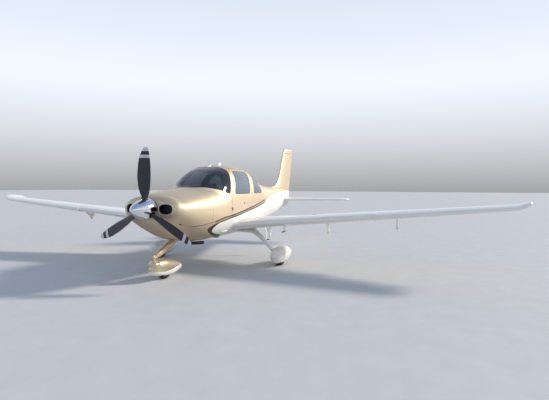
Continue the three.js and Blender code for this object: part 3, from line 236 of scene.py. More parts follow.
# a mesh object from arrays, all in triangles; a mirrored one has its sides swapped
def meshObject(name, points, tris, groups=None, cornerNormals=None, sharpAngle=None, attributes=None,
               mirror=False):
    if mirror:
        points, tris = points * mirrored, tris[:, ::-1]
        cornerNormals = None if cornerNormals is None else cornerNormals[:, ::-1] * mirrored
    mesh = bpy.data.meshes.new(name)
    mesh.vertices.add(len(points))
    mesh.vertices.foreach_set("co", np.asarray(points, np.float32).ravel())
    mesh.loops.add(3 * len(tris))
    mesh.loops.foreach_set("vertex_index", np.asarray(tris, np.int32).ravel())
    mesh.polygons.add(len(tris))
    mesh.polygons.foreach_set("loop_start", np.arange(0, 3 * len(tris), 3, dtype=np.int32))
    mesh.polygons.foreach_set("use_smooth", np.ones(len(tris), bool))
    if groups is not None:
        mesh.polygons.foreach_set("material_index", np.asarray(groups, np.int32))
    for label, values in (attributes or {}).items():
        made = mesh.attributes.new(label, "FLOAT", "POINT")
        made.data.foreach_set("value", np.asarray(values, np.float32))
    mesh.update(calc_edges=True)
    if cornerNormals is not None:
        mesh.normals_split_custom_set(cornerNormals.reshape(-1, 3))
    elif sharpAngle is not None:
        mesh.set_sharp_from_angle(angle=radians(sharpAngle))
    return linked(name, mesh)


# drops unused corners and joins corners at the same place
def weld(points, tris, *others):
    used = np.unique(tris)
    _, first, back = np.unique(np.round(points[used], 6), axis=0, return_index=True, return_inverse=True)
    number = np.full(len(points), -1)
    number[used] = back.ravel()
    tris = number[tris]
    good = (tris[:, 0] != tris[:, 1]) & (tris[:, 1] != tris[:, 2]) & (tris[:, 2] != tris[:, 0])
    chosen = used[first]
    return (points[chosen], tris[good], *(o[chosen] for o in others))


# the directed edges that only one triangle has
def openEdges(tris):
    edges = np.concatenate([tris[:, [0, 1]], tris[:, [1, 2]], tris[:, [2, 0]]])
    size = tris.max() + 1
    forward, backward = edges[:, 0] * size + edges[:, 1], edges[:, 1] * size + edges[:, 0]
    return edges[~np.isin(forward, backward)]


# a wall with two faces: the patch on its surface, its copy a thickness further in along the
# normals, and a rim along every open edge; groups 0 outside, 1 inside, 2 rim. A pole is a value of
# the first parameter where the surface shrinks to a point, with the side that it faces along x
def wallPiece(name, patch, surface, thickness, steps=(1.0, 1e-3), lift=0, mirror=False, edge=None,
              poles=()):
    params, tris = patch
    points, tris, params = weld(surface(params), tris, params)
    normals = surfaceNormals(surface, params, steps)
    for value, ahead in poles:
        normals[np.abs(params[:, 0] - value) < 1e-6] = (ahead, 0, 0)
    points = points + normals * lift / 1000
    attributes = {"edge": np.tile(edge(params), 2)} if edge else None
    e1, e2 = points[tris[:, 1]] - points[tris[:, 0]], points[tris[:, 2]] - points[tris[:, 0]]
    facing = (np.cross(e1, e2) * normals[tris[:, 0]]).sum(1)
    if facing.sum() < 0:
        tris = tris[:, ::-1]
    inner = points - normals * thickness / 1000
    n = len(points)
    a, b = openEdges(tris).T
    rim = np.concatenate([np.stack([b, a, a + n], -1), np.stack([b, a + n, b + n], -1)])
    tangent = np.zeros((n, 3))
    step = unit(points[b] - points[a])
    np.add.at(tangent, a, step)
    np.add.at(tangent, b, step)
    rimNormal = unit(np.cross(tangent, normals))
    corner = np.concatenate([normals[tris], -normals[tris[:, ::-1]], rimNormal[rim % n]])
    faces = np.concatenate([tris, tris[:, ::-1] + n, rim])
    groups = np.repeat([0, 1, 2], [len(tris), len(tris), len(rim)])
    return meshObject(name, np.concatenate([points, inner]), faces, groups, corner, attributes=attributes,
                      mirror=mirror)


# a closed body through rings of equal length; with caps, a fan round its middle closes each end
def ringBody(name, rings, sharpAngle=40, caps=True, attributes=None, mirror=False):
    rings = np.asarray(rings, float)
    rows, columns = rings.shape[:2]
    points, tris = rings.reshape(-1, 3), gridFaces(rows, columns, wrap=True)
    if caps:
        first, last = np.arange(columns), np.arange(columns) + (rows - 1) * columns
        middle = np.full(columns, len(points))
        tris = np.concatenate([tris, np.stack([middle, first, np.roll(first, -1)], -1),
                               np.stack([middle + 1, np.roll(last, -1), last], -1)])
        points = np.concatenate([points, [rings[0].mean(0), rings[-1].mean(0)]])
    labels = attributes or {}
    values = [np.append(v, [np.mean(v)] * 2) for v in labels.values()]
    points, tris, *values = weld(points, tris, *values)
    return meshObject(name, points, outward(points, tris), sharpAngle=sharpAngle,
                      attributes=dict(zip(labels, values)), mirror=mirror)


# signed distance, below nought inside, to a closed outline of corners in two dimensions
def outlineDistance(outline, x, z):
    a = np.asarray(outline, float)
    b = np.roll(a, -1, 0)
    best, inside = np.full(x.shape, 1e9), np.zeros(x.shape, bool)
    for (ax, az), (bx, bz) in zip(a, b):
        ex, ez = bx - ax, bz - az
        t = np.clip(((x - ax) * ex + (z - az) * ez) / max(ex * ex + ez * ez, 1e-9), 0, 1)
        best = np.minimum(best, (x - ax - t * ex) ** 2 + (z - az - t * ez) ** 2)
        crosses = (az > z) != (bz > z)
        inside ^= crosses & (x < ex * (z - az) / (ez if ez else 1e-9) + ax)
    return np.where(inside, -1, 1) * np.sqrt(best)


# each corner of an outline cut back by a radius and joined by a quadratic curve
def roundCorners(corners, radius, steps=7):
    corners = np.asarray(corners, float)
    t = np.linspace(0, 1, steps)[:, None]
    parts = []
    for i, corner in enumerate(corners):
        before, after = corners[i - 1] - corner, corners[(i + 1) % len(corners)] - corner
        lengths = np.linalg.norm(before), np.linalg.norm(after)
        cut = min(radius, lengths[0] * 0.45, lengths[1] * 0.45)
        start, end = corner + before / lengths[0] * cut, corner + after / lengths[1] * cut
        parts.append((1 - t) ** 2 * start + 2 * t * (1 - t) * corner + t ** 2 * end)
    return np.concatenate(parts)


# a smooth curve through points, as a number of points evenly spread along it
def smoothPath(points, count):
    points = np.asarray(points, float)
    s = np.concatenate([[0], np.cumsum(np.linalg.norm(np.diff(points, axis=0), axis=1))])
    t = np.linspace(0, s[-1], count)
    return np.stack([curve(t) for curve in columnCurves(np.column_stack([s, points]))], -1)


# a circle of unit radius in the plane of two directions
def spokes(first, second, count, squash=1.0):
    angle = circle(count)[:, None]
    return np.cos(angle) * first[..., None, :] + squash * np.sin(angle) * second[..., None, :]


# circles of the given radii carried along a path, square to its direction
def tubeRings(path, radii, around=20, squash=1.0, up=(0, 0, 1)):
    path = np.asarray(path, float)
    radii = np.broadcast_to(np.asarray(radii, float), len(path))
    along = unit(np.gradient(path, axis=0))
    side = unit(np.cross(along, np.asarray(up, float)))
    return path[:, None] + radii[:, None, None] * spokes(side, np.cross(side, along), around, squash)


def tubePiece(name, *shape, **more):
    return ringBody(name, tubeRings(*shape, **more))


# a profile of [distance along, radius] pairs turned round an axis through a point
def turnedPiece(name, profile, at, axis, around, sharpAngle=40, closed=False):
    profile = np.asarray(profile, float)
    axis = unit(np.asarray(axis, float))
    first = unit(np.cross(axis, [0, 0, 1.0] if abs(axis[2]) < 0.9 else [1.0, 0, 0]))
    if closed:
        profile = np.concatenate([profile, profile[:1]])
    rings = (np.asarray(at, float) + profile[:, 0][:, None, None] * axis
             + profile[:, 1][:, None, None] * spokes(first, np.cross(axis, first), around))
    return ringBody(name, rings, sharpAngle, not closed)


# turns every triangle the other way where a closed mesh holds a negative volume
def outward(points, tris):
    p = points[tris]
    volume = np.einsum("ij,ij->i", p[:, 0], np.cross(p[:, 1], p[:, 2])).sum()
    return tris[:, ::-1] if volume < 0 else tris


# rings that come back to the first one, as a hoop
def hoopPiece(name, rings, sharpAngle, mirror=False):
    return ringBody(name, np.concatenate([rings, rings[:1]]), sharpAngle, False, mirror=mirror)


# a flat plate: an outline of [station, height] corners carried from one distance out to another,
# with its edges cut back by a bevel and its flat ends split by ear cutting
def platePiece(name, outline, y0, y1, rounding, bevel=2.0, mirror=False):
    ring = roundCorners(outline, rounding, 5)
    ring = ring[np.linalg.norm(ring - np.roll(ring, 1, 0), axis=1) > 0.05]
    ahead = unit(np.roll(ring, -1, 0) - np.roll(ring, 1, 0))
    turn = np.sign(np.sum(ring[:, 0] * np.roll(ring[:, 1], -1) - np.roll(ring[:, 0], -1) * ring[:, 1]))
    small = ring + np.stack([-ahead[:, 1], ahead[:, 0]], -1) * turn * bevel
    low, high = sorted((y0, y1))
    layers = ((small, low), (ring, low + bevel), (ring, high - bevel), (small, high))
    points = np.concatenate([place(r[:, 0], y, r[:, 1]) for r, y in layers])
    cap = np.array(tessellate_polygon([[Vector((*p, 0)) for p in small]]))
    a, b, c = small[cap[:, 0]], small[cap[:, 1]], small[cap[:, 2]]
    facing = (b[:, 0] - a[:, 0]) * (c[:, 1] - a[:, 1]) - (b[:, 1] - a[:, 1]) * (c[:, 0] - a[:, 0])
    cap = np.where((np.sign(facing) == turn)[:, None], cap, cap[:, ::-1])
    tris = np.concatenate([gridFaces(4, len(ring), wrap=True), cap, cap[:, ::-1] + 3 * len(ring)])
    return meshObject(name, points, outward(points, tris), sharpAngle=30, mirror=mirror)


# a block with rounded upright edges and bevelled ends between two stations, distances out and
# heights
def blockPiece(name, stations, ys, zs, radius, bevel, mirror=False):
    (x1, x0), (y0, y1), (z0, z1) = (origin - s for s in stations), ys, zs

    def ring(z, cut):
        corners = [[x0 + cut, y0 + cut], [x1 - cut, y0 + cut], [x1 - cut, y1 - cut], [x0 + cut, y1 - cut]]
        flat = roundCorners(corners, radius, 6)
        return np.column_stack([flat, np.full(len(flat), z)]) / 1000

    rings = [ring(z0, bevel), ring(z0 + bevel, 0), ring(z1 - bevel, 0), ring(z1, bevel)]
    return ringBody(name, rings, 30, mirror=mirror)


# a fairing built up from level rings: each row gives height, station, half length and half width of
# an ellipse whose sine and cosine are drawn outwards by a power
def levelPiece(name, rows, y=0.0, power=1.0, mirror=False):
    curves = columnCurves(rows)
    angle = circle(64)
    rings = []
    for z in np.linspace(rows[0][0], rows[-1][0], 30):
        station, long, wide = (float(c(z)) for c in curves)
        rings.append(place(station + long * powered(np.cos(angle), power),
                           y + wide * powered(np.sin(angle), power), z))
    return ringBody(name, rings, mirror=mirror)


# half an ellipsoid over the fuselage skin: long, wide and high, centred at a station and angle; its
# first ring is sunk into the skin by a quarter of its height
def blister(name, station, angle, long, wide, high, mirror=False):
    centre = np.array([station, angle], float)
    base, out = fuselagePoint(centre), surfaceNormals(fuselagePoint, centre[None])[0]
    back = unit(np.array([-1.0, 0, 0]) - out * -out[0])
    flat = spokes(long * back, wide * np.cross(out, back), 36)
    shares = np.concatenate([[-0.25], np.sin(np.linspace(0, pi / 2, 12))])
    rings = [base + (sqrt(max(0.0, 1 - max(v, 0) ** 2)) * flat + high * v * out) / 1000 for v in shares]
    return ringBody(name, rings, mirror=mirror)


# Materials

def startMaterial(name):
    made = bpy.data.materials.new(name)
    made.use_nodes = True
    tree = made.node_tree
    tree.nodes.clear()
    output = tree.nodes.new("ShaderNodeOutputMaterial")
    shader = tree.nodes.new("ShaderNodeBsdfPrincipled")
    tree.links.new(shader.outputs[0], output.inputs[0])
    return made, tree, shader


# links an input where the value is an output socket, and sets it to the value otherwise
def feed(tree, made, inputs):
    for key, value in inputs.items():
        if isinstance(value, bpy.types.NodeSocket):
            tree.links.new(value, made.inputs[key])
        else:
            made.inputs[key].default_value = value


def add(tree, kind, inputs=None, **properties):
    made = tree.nodes.new("ShaderNode" + kind)
    for key, value in properties.items():
        setattr(made, key, value)
    feed(tree, made, inputs or {})
    return made


def math(tree, operation, a, b=0.0, clamp=False):
    return add(tree, "Math", {0: a, 1: b}, operation=operation, use_clamp=clamp).outputs[0]


def minus(tree, a, b, clamp=False):
    return math(tree, "SUBTRACT", a, b, clamp)


def times(tree, a, b):
    return math(tree, "MULTIPLY", a, b)


def objectCoordinates(tree):
    return add(tree, "TexCoord").outputs["Object"]


def noise(tree, where, scale, detail):
    inputs = {"Vector": where, "Scale": scale, "Detail": detail, "Roughness": 0.55}
    return add(tree, "TexNoise", inputs).outputs["Fac"]


# a mix of two colours, each an output or a display colour of 0 to 255
def mixColour(tree, share, a, b):
    a, b = (colour(*c) if isinstance(c, tuple) and len(c) == 3 else c for c in (a, b))
    return add(tree, "Mix", {0: share, 6: a, 7: b}, data_type="RGBA").outputs[2]


def mapRange(tree, value, low, high, toLow=0.0, toHigh=1.0):
    return add(tree, "MapRange", {0: value, 1: low, 2: high, 3: toLow, 4: toHigh}).outputs[0]


# noise whose middle part is spread between two values
def clouded(tree, where, scale, detail, low=0.0, high=1.0):
    return mapRange(tree, noise(tree, where, scale, detail), 0.3, 0.7, low, high)


def bump(tree, height, strength, distance):
    return add(tree, "Bump", {"Height": height, "Strength": strength, "Distance": distance}).outputs[0]


# a display colour of 0 to 255 in linear light
def colour(r, g, b):
    c = np.array([r, g, b]) / 255
    linear = np.where(c <= 0.04045, c / 12.92, ((c + 0.055) / 1.055) ** 2.4)
    return (*linear, 1.0)


# a display colour's light weakened to a share
def darker(shade, share):
    return tuple(share * c for c in colour(*shade)[:3]) + (1.0,)


# a curve node through [input, output] pairs, with both axes brought into 0 to 1
def curveNode(tree, value, pairs, fromRange, toRange):
    pairs = np.asarray(pairs, float)
    x = (pairs[:, 0] - fromRange[0]) / (fromRange[1] - fromRange[0])
    y = (pairs[:, 1] - toRange[0]) / (toRange[1] - toRange[0])
    made = tree.nodes.new("ShaderNodeFloatCurve")
    points = made.mapping.curves[0].points
    while len(points) < len(pairs):
        points.new(0.5, 0.5)
    for point, px, py in zip(points, x, y):
        point.location = (px, py)
    made.mapping.update()
    share = mapRange(tree, value, *fromRange)
    tree.links.new(share, made.inputs["Value"])
    return mapRange(tree, made.outputs[0], 0.0, 1.0, *toRange)


# 1 where a value is over a limit and 0 below, with a soft edge of the given width
def over(tree, value, limit, width=0.0015):
    return mapRange(tree, minus(tree, value, limit), -width / 2, width / 2)


paint = {
    "gold": (208, 190, 162),
    "white": (233, 231, 225),
    "dark": (46, 34, 26),
    "thinLine": (120, 98, 70),
    "goldMetallic": 0.72,
    "goldRoughness": 0.54,
    "coat": 0.14,
    "coatRoughness": 0.34,
    "goldShade": (188, 170, 142),
    "whiteShade": (214, 212, 203),
    # half widths of the dark lines, in metres, and the stations where they change
    "stripeHalf": 0.0135,
    "thinHalf": 0.004,
    "tailHalf": 0.005,
    "thinFrom": 0.9,
    "thinBefore": 1.57,
    "tailFrom": 4.3,
    # station and height of the two lines, and height and station of the hook's two edges
    "upperLine": [[0.2, 1.00], [0.45, 0.985], [0.674, 0.953], [0.92, 0.9], [1.072, 0.9], [1.213, 0.907],
                  [1.369, 0.921], [1.545, 0.936], [1.736, 0.963], [1.948, 0.995], [2.185, 1.011],
                  [2.432, 1.038], [2.694, 1.069], [2.981, 1.109], [3.308, 1.148], [3.726, 1.199],
                  [4.331, 1.262], [8.0, 1.7]],
    "lowerLine": [[0.2, 0.4], [1.2, 0.7], [1.475, 0.856], [1.59, 0.89], [1.757, 0.92], [1.963, 0.946],
                  [2.19, 0.974], [2.437, 0.997], [2.699, 1.032], [2.981, 1.069], [3.308, 1.107],
                  [3.726, 1.147], [4.255, 1.205], [4.658, 1.298], [5.147, 1.362], [5.897, 1.421],
                  [6.617, 1.454], [7.403, 1.465], [8.0, 1.47]],
    "hookOuter": [[0.5, 2.6], [0.556, 2.35], [0.6, 2.02], [0.632, 1.878], [0.696, 1.631], [0.755, 1.47],
                  [0.796, 1.399], [0.833, 1.394], [0.878, 1.459], [0.918, 1.575], [1.0, 1.8]],
    "hookInner": [[0.5, 2.8], [0.556, 2.6], [0.6, 2.3], [0.644, 2.079], [0.7, 1.772], [0.733, 1.641],
                  [0.769, 1.57], [0.803, 1.56], [0.844, 1.6], [0.889, 1.686], [1.0, 1.9]],
}


# gold above a falling line and white below it, parted by two dark lines that run into a hook
# under the cowl; the line goes on thinly to the tail
def fuselagePaint():
    made, tree, shader = startMaterial("fuselage_paint")
    where = objectCoordinates(tree)
    x, _, z = add(tree, "SeparateXYZ", {0: where}).outputs
    station = minus(tree, origin / 1000, x)
    fromUpper, fromLower = (minus(tree, z, curveNode(tree, station, paint[line], (0.2, 8.0), (0.4, 1.7)))
                            for line in ("upperLine", "lowerLine"))
    aftOuter, aftInner = (over(tree, station, curveNode(tree, z, paint[line], (0.5, 1.0), (1.3, 2.8)))
                          for line in ("hookOuter", "hookInner"))
    half = paint["stripeHalf"]
    white = times(tree, over(tree, -half, fromLower), aftInner)
    hook = times(tree, minus(tree, aftOuter, aftInner, clamp=True), over(tree, half, fromLower))
    forward = over(tree, paint["thinBefore"], station, 0.06)
    beforeTail = over(tree, paint["tailFrom"], station, 0.1)
    upperHalf = mapRange(tree, forward, 0, 1, half, paint["thinHalf"])
    upper = over(tree, upperHalf, math(tree, "ABSOLUTE", fromUpper))
    upper = times(tree, times(tree, upper, beforeTail), over(tree, station, paint["thinFrom"], 0.12))
    lowerHalf = mapRange(tree, beforeTail, 0, 1, paint["tailHalf"], half)
    lower = times(tree, over(tree, lowerHalf, math(tree, "ABSOLUTE", fromLower)), aftOuter)
    dark = math(tree, "MAXIMUM", math(tree, "MAXIMUM", upper, lower), hook)
    gold = mixColour(tree, clouded(tree, where, 1.6, 2.0, 0.0, 0.12), paint["gold"], paint["goldShade"])
    flake = mapRange(tree, noise(tree, where, 900.0, 1.0), 0.45, 0.8, 0.0, 0.25)
    gold = mixColour(tree, flake, gold, (226, 210, 184))
    chalk = mixColour(tree, clouded(tree, where, 1.6, 2.0, 0.0, 0.2), paint["white"], paint["whiteShade"])
    line = mixColour(tree, beforeTail, paint["thinLine"], paint["dark"])
    rough = paint["goldRoughness"]
    bare = minus(tree, 1.0, math(tree, "MAXIMUM", white, dark))
    feed(tree, shader, {
        "Base Color": mixColour(tree, dark, mixColour(tree, white, gold, chalk), line),
        "Metallic": times(tree, bare, paint["goldMetallic"]),
        "Roughness": clouded(tree, where, 14.0, 4.0, rough - 0.01, rough + 0.02),
        "Coat Weight": paint["coat"], "Coat Roughness": paint["coatRoughness"]})
    return made


# a paint, plastic or metal: two close colours clouded together, fine grain in the bump
def plainFinish(name, one, two, roughness, metallic=0.0, coat=0.0, grainScale=250.0, grain=0.05,
                grainDepth=0.0004, spread=0.06):
    made, tree, shader = startMaterial(name)
    where = objectCoordinates(tree)
    low, high = max(roughness - spread / 2, 0.02), roughness + spread
    feed(tree, shader, {
        "Base Color": mixColour(tree, clouded(tree, where, 3.0, 4.0), one, two), "Metallic": metallic,
        "Roughness": clouded(tree, where, 15.0, 4.0, low, high)})
    if grain:
        feed(tree, shader, {"Normal": bump(tree, noise(tree, where, grainScale, 2.0), grain, grainDepth)})
    if coat:
        feed(tree, shader, {"Coat Weight": coat, "Coat Roughness": 0.06})
    return made


# clear sheet of one colour: see-through by a share, with faint wiping marks in its gloss and a dark printed
# band along its edge. The colour is laid over what lies behind the sheet, so on the windows it also holds a
# painted sky reflection and painted shade of the cabin
def clearFinish(name, sheetColour, alpha, band=0.0):
    made, tree, shader = startMaterial(name)
    where = objectCoordinates(tree)
    shownColour = mixColour(tree, noise(tree, where, 2.5, 3.0), sheetColour, darker(sheetColour, 0.8))
    if band:
        edge = add(tree, "Attribute", attribute_name="edge").outputs["Fac"]
        printed = mapRange(tree, edge, band, band - 4)
        shownColour = mixColour(tree, printed, shownColour, (14, 14, 15))
        alpha = mapRange(tree, printed, 0, 1, alpha, 1.0)
    feed(tree, shader, {
        "Base Color": shownColour, "Alpha": alpha, "Coat Weight": 1.0, "Coat Roughness": 0.05,
        "Roughness": mapRange(tree, noise(tree, where, 30.0, 5.0), 0.35, 0.75, 0.03, 0.08)})
    return made


gear = {
    # y, station of the middle, height, half length of the section, half thickness
    "legRings": 44,
    "legRows": [[250, 3000, 655, 170, 38], [560, 2985, 662, 168, 42], [760, 2948, 655, 150, 42],
                [880, 2910, 610, 130, 36], [1010, 2862, 528, 116, 31], [1150, 2826, 405, 102, 27],
                [1262, 2808, 300, 88, 23], [1308, 2804, 258, 80, 21]],
    # behind the nose, bottom, top, half width
    "mainPantRows": [[0, 150, 245, 46], [22, 100, 304, 88], [85, 64, 346, 117], [220, 46, 370, 133],
                     [385, 42, 376, 137], [545, 50, 362, 129], [710, 80, 322, 102], [850, 122, 272, 66],
                     [950, 166, 230, 26]],
    "mainPantNose": 2512,
    "nosePantRows": [[0, 165, 232, 36], [22, 124, 284, 70], [92, 96, 332, 96], [204, 68, 354, 109],
                     [330, 46, 350, 113], [450, 38, 327, 107], [600, 44, 286, 90], [750, 64, 238, 64],
                     [876, 92, 184, 34]],
    "nosePantNose": 492,
    # station and height of the line between gold and white, and of the main fairings' seam, in metres
    "pantLine": [[0.4, 0.2], [0.55, 0.172], [0.7, 0.152], [0.85, 0.153], [1.1, 0.17], [1.3, 0.185],
                 [1.5, 0.19]],
    "mainSeam": [[2.4, 0.135], [2.62, 0.15], [3.02, 0.176], [3.3, 0.19], [3.5, 0.195]],
    "pantWall": 5,
    # length of a fairing's caps, bulge of the rear one, end of its finely drawn front, and the
    # height below which its opening is cut
    "pantCap": 12,
    "pantEnd": 5,
    "pantFront": 90,
    "pantOpenBelow": 130,
    "pantPower": 0.86,
    "tyreGrooves": (-0.42, 0, 0.42),
    "mainWheel": {"station": 2800, "y": 1410, "radius": 182, "half": 74, "rim": 88},
    "noseWheel": {"station": 867, "y": 0, "radius": 162, "half": 60, "rim": 72},
}


# black blade with a black tip between two pale bands and a bare strip on the leading edge; the
# bands go by the distance from the shaft
def bladeFinish():
    made, tree, shader = startMaterial("blade_paint")
    where = objectCoordinates(tree)
    drop = (0, 0, -aircraft["propellerHeight"] / 1000)
    flat = add(tree, "VectorMath", {0: where, 1: drop}, operation="ADD")
    flat = add(tree, "VectorMath", {0: flat.outputs[0], 1: (0, 1, 1)}, operation="MULTIPLY")
    radius = add(tree, "VectorMath", {0: flat.outputs[0]}, operation="LENGTH").outputs["Value"]

    def between(low, high):
        return times(tree, over(tree, radius, low), over(tree, high, radius))

    cloud = clouded(tree, where, 9.0, 4.0)
    black = mixColour(tree, cloud, (30, 31, 37), (38, 39, 44))
    pale = mixColour(tree, cloud, (206, 206, 208), (184, 184, 188))
    bands = math(tree, "MAXIMUM", between(0.822, 0.872), over(tree, radius, 0.93))
    lead = mapRange(tree, add(tree, "Attribute", attribute_name="lead").outputs["Fac"], 0.9, 0.94)
    lead = times(tree, lead, between(0.42, 0.822))
    feed(tree, shader, {
        "Base Color": mixColour(tree, lead, mixColour(tree, bands, black, pale), (150, 152, 156)),
        "Metallic": times(tree, lead, 0.8), "Roughness": clouded(tree, where, 60.0, 4.0, 0.36, 0.5)})
    return made


# one colour over a rising line and white below it, with a thin dark line between them aft of a station
def pantFinish(name, line, upper, metallic, darkFrom, half):
    made, tree, shader = startMaterial(name)
    where = objectCoordinates(tree)
    x, _, z = add(tree, "SeparateXYZ", {0: where}).outputs
    station = minus(tree, origin / 1000, x)
    rise = minus(tree, z, curveNode(tree, station, line, (line[0][0], line[-1][0]), (0.1, 0.3)))
    cloud = clouded(tree, where, 5.0, 3.0)
    gold = mixColour(tree, cloud, upper, darker(upper, 0.9))
    chalk = mixColour(tree, cloud, paint["white"], paint["whiteShade"])
    isGold = over(tree, rise, 0.0)
    thin = times(tree, over(tree, half, math(tree, "ABSOLUTE", rise)), over(tree, station, darkFrom, 0.1))
    feed(tree, shader, {
        "Base Color": mixColour(tree, thin, mixColour(tree, isGold, chalk, gold), paint["dark"]),
        "Metallic": times(tree, minus(tree, isGold, thin, clamp=True), metallic),
        "Roughness": clouded(tree, where, 14.0, 4.0, 0.27, 0.33),
        "Coat Weight": paint["coat"], "Coat Roughness": paint["coatRoughness"]})
    return made


# woven or knitted cloth and carpet: a fine checked bump over clouded colour
def wovenFinish(name, one, two, scale, depth):
    made, tree, shader = startMaterial(name)
    where = objectCoordinates(tree)
    across, along = (add(tree, "TexWave", {"Vector": where, "Scale": scale}, wave_type="BANDS",
                         bands_direction=way).outputs["Fac"] for way in "XY")
    feed(tree, shader, {
        "Base Color": mixColour(tree, clouded(tree, where, 6.0, 4.0), one, two),
        "Normal": bump(tree, times(tree, across, along), 0.5, depth),
        "Roughness": clouded(tree, where, 40.0, 2.0, 0.8, 0.95), "Sheen Weight": 0.3})
    return made


# a screen or dial face: dark glass with soft generic bands, no words or signs
def screenFinish():
    made, tree, shader = startMaterial("panel_screen")
    where = objectCoordinates(tree)
    height = add(tree, "SeparateXYZ", {0: where}).outputs[2]
    land = mixColour(tree, noise(tree, where, 22.0, 3.0), (58, 44, 26), (40, 50, 34))
    picture = mixColour(tree, over(tree, height, 1.285, 0.004), land, (30, 62, 110))
    feed(tree, shader, {"Base Color": picture, "Roughness": 0.12, "Coat Weight": 0.6})
    return made


print("materials")
finish = {
    "fuselage": fuselagePaint(),
    "white": plainFinish("white_gloss", paint["white"], (228, 226, 219), 0.3, coat=0.5, grain=0.0,
                         spread=0.02),
    "gold": plainFinish("gold_gloss", paint["gold"], paint["goldShade"], 0.3, metallic=0.62, coat=0.7,
                        grain=0.0),
    # the inlet lips' paler, whiter colour than the cowl's gold is a painted highlight along the rounded lips
    "lip": plainFinish("inlet_lip", (212, 206, 196), (196, 190, 180), 0.26, metallic=0.5, coat=0.6,
                       grain=0.0),
    "trim": plainFinish("cabin_trim", (150, 138, 120), (132, 121, 104), 0.75, grain=0.4, grainScale=600),
    "darkTrim": plainFinish("dark_trim", (38, 38, 40), (30, 30, 32), 0.8, grain=0.4, grainScale=600),
    "primer": plainFinish("cowl_inside", (120, 118, 108), (98, 97, 90), 0.6, grain=0.1),
    "rubber": plainFinish("seal_rubber", (22, 22, 23), (30, 30, 31), 0.7, grain=0.2),
    # windscreen: dark colour, partly the glass's smoke tint and partly painted shade of the cabin behind it;
    # side windows: pale blue-grey, a painted reflection of the sky
    "glass": clearFinish("windscreen_glass", (40, 48, 56), 0.42, band=22),
    "sideGlass": clearFinish("side_glass", (136, 152, 163), 0.5, band=14),
    "lens": clearFinish("lamp_lens", (236, 240, 242), 0.35),
    "chrome": plainFinish("spinner_chrome", (232, 234, 238), (222, 225, 230), 0.09, metallic=1.0,
                          spread=0.04, grain=0.02, grainScale=60),
    "tyre": plainFinish("tyre_rubber", (26, 26, 27), (38, 37, 36), 0.85, grain=0.5, grainScale=300),
    "alloy": plainFinish("wheel_alloy", (176, 178, 182), (150, 152, 156), 0.35, metallic=0.9, grain=0.1),
    "engine": plainFinish("engine_case", (72, 73, 76), (52, 52, 54), 0.55, metallic=0.6, grain=0.4),
    "steel": plainFinish("exhaust_steel", (74, 66, 60), (44, 38, 34), 0.55, metallic=0.7, grain=0.3),
    "leather": plainFinish("seat_leather", (168, 150, 122), (150, 132, 106), 0.6, grain=0.5,
                           grainScale=380, grainDepth=0.001),
    "blade": bladeFinish(),
    "pant": pantFinish("nose_fairing_paint", gear["pantLine"], paint["gold"], paint["goldMetallic"], 0.72,
                       0.0045),
    "mainPant": pantFinish("main_fairing_paint", gear["mainSeam"], paint["white"], 0.0, 2.6, 0.0015),
    "headliner": wovenFinish("headliner", (176, 168, 154), (162, 154, 140), 260.0, 0.0004),
    "carpet": wovenFinish("carpet", (74, 66, 56), (58, 52, 45), 180.0, 0.0015),
    "screen": screenFinish(),
    "redLamp": plainFinish("red_lamp", (190, 26, 22), (160, 20, 18), 0.15, coat=1.0, grain=0.0),
    "greenLamp": plainFinish("green_lamp", (20, 150, 70), (16, 120, 58), 0.15, coat=1.0, grain=0.0),
}


# the slot of each finish, for pieces that name no other
usualSlot = {
    "fuselage": "gold_paint", "gold": "gold_paint", "pant": "gold_paint", "lip": "gold_paint",
    "white": "white_paint", "mainPant": "white_paint", "alloy": "white_metal", "blade": "blade_paint",
    "chrome": "chrome", "glass": "window", "sideGlass": "window", "lens": "lens", "tyre": "tyre",
    "engine": "engine", "steel": "steel", "leather": "leather",
    "rubber": "trim", "darkTrim": "trim", "carpet": "trim", "screen": "trim",
}


# gives a piece its materials, by their names in one string, and its body, and hides the nodes that it stands
# for; its slot is looked up but not kept
def finishPiece(piece, materials, replaced=(), body="airframe", slot=None):
    names = materials.split()
    for name in names:
        piece.data.materials.append(finish[name])
    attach(piece, body)
    slot or usualSlot[names[0]]
    if replaced:
        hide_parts(*replaced)


# Cabin

# openings seen from the side: [station, height] corners, the radius that rounds them, and the
# stretch of stations and angles round the fuselage that their piece is cut from
openings = {
    "windscreen": {"outline": [[1492, 2200], [1492, 1556], [1700, 1556], [1900, 1512], [2060, 1450],
                               [2155, 1428], [2203, 1478], [2290, 1640], [2370, 1770], [2450, 1900],
                               [2450, 2200]],
                   "round": 40, "stations": (1470, 2480, 64), "angles": (0, pi, 110)},
    "door": {"outline": [[2195, 1005], [2235, 1445], [2545, 1935], [3385, 1935], [3235, 1420], [3120, 1005]],
             "round": 90, "stations": (2170, 3420, 84), "angles": (-0.35, 1.42, 84)},
    "doorWindow": {"outline": [[2355, 1425], [2575, 1890], [3308, 1890], [3110, 1425]],
                   "round": 80, "stations": (2350, 3340, 50), "angles": (0.2, 1.4, 50)},
    "rearWindow": {"outline": [[3340, 1425], [3507, 1862], [3765, 1806], [4040, 1590], [4095, 1500],
                               [4020, 1425]],
                   "round": 80, "stations": (3300, 4150, 44), "angles": (0.2, 1.4, 48)},
}
cabin = {
    "skin": 24,
    "glass": 6,
    "glassLift": -1.0,
    "firewall": 1460,
    "bulkhead": 4660,
    "doorGap": 5,
    "glassGap": 2.5,
    "seam": 1.5,
    "rows": 170,
    "around": 220,
}


# a field over station and angle: the distance to an opening's outline seen from the side
def sideField(name, shift=0.0, sign=1):
    rounded = roundCorners(openings[name]["outline"], openings[name]["round"])

    def field(params):
        p = fuselagePoint(params) * 1000
        return sign * outlineDistance(rounded, origin - p[:, 0], p[:, 2]) + shift

    return field


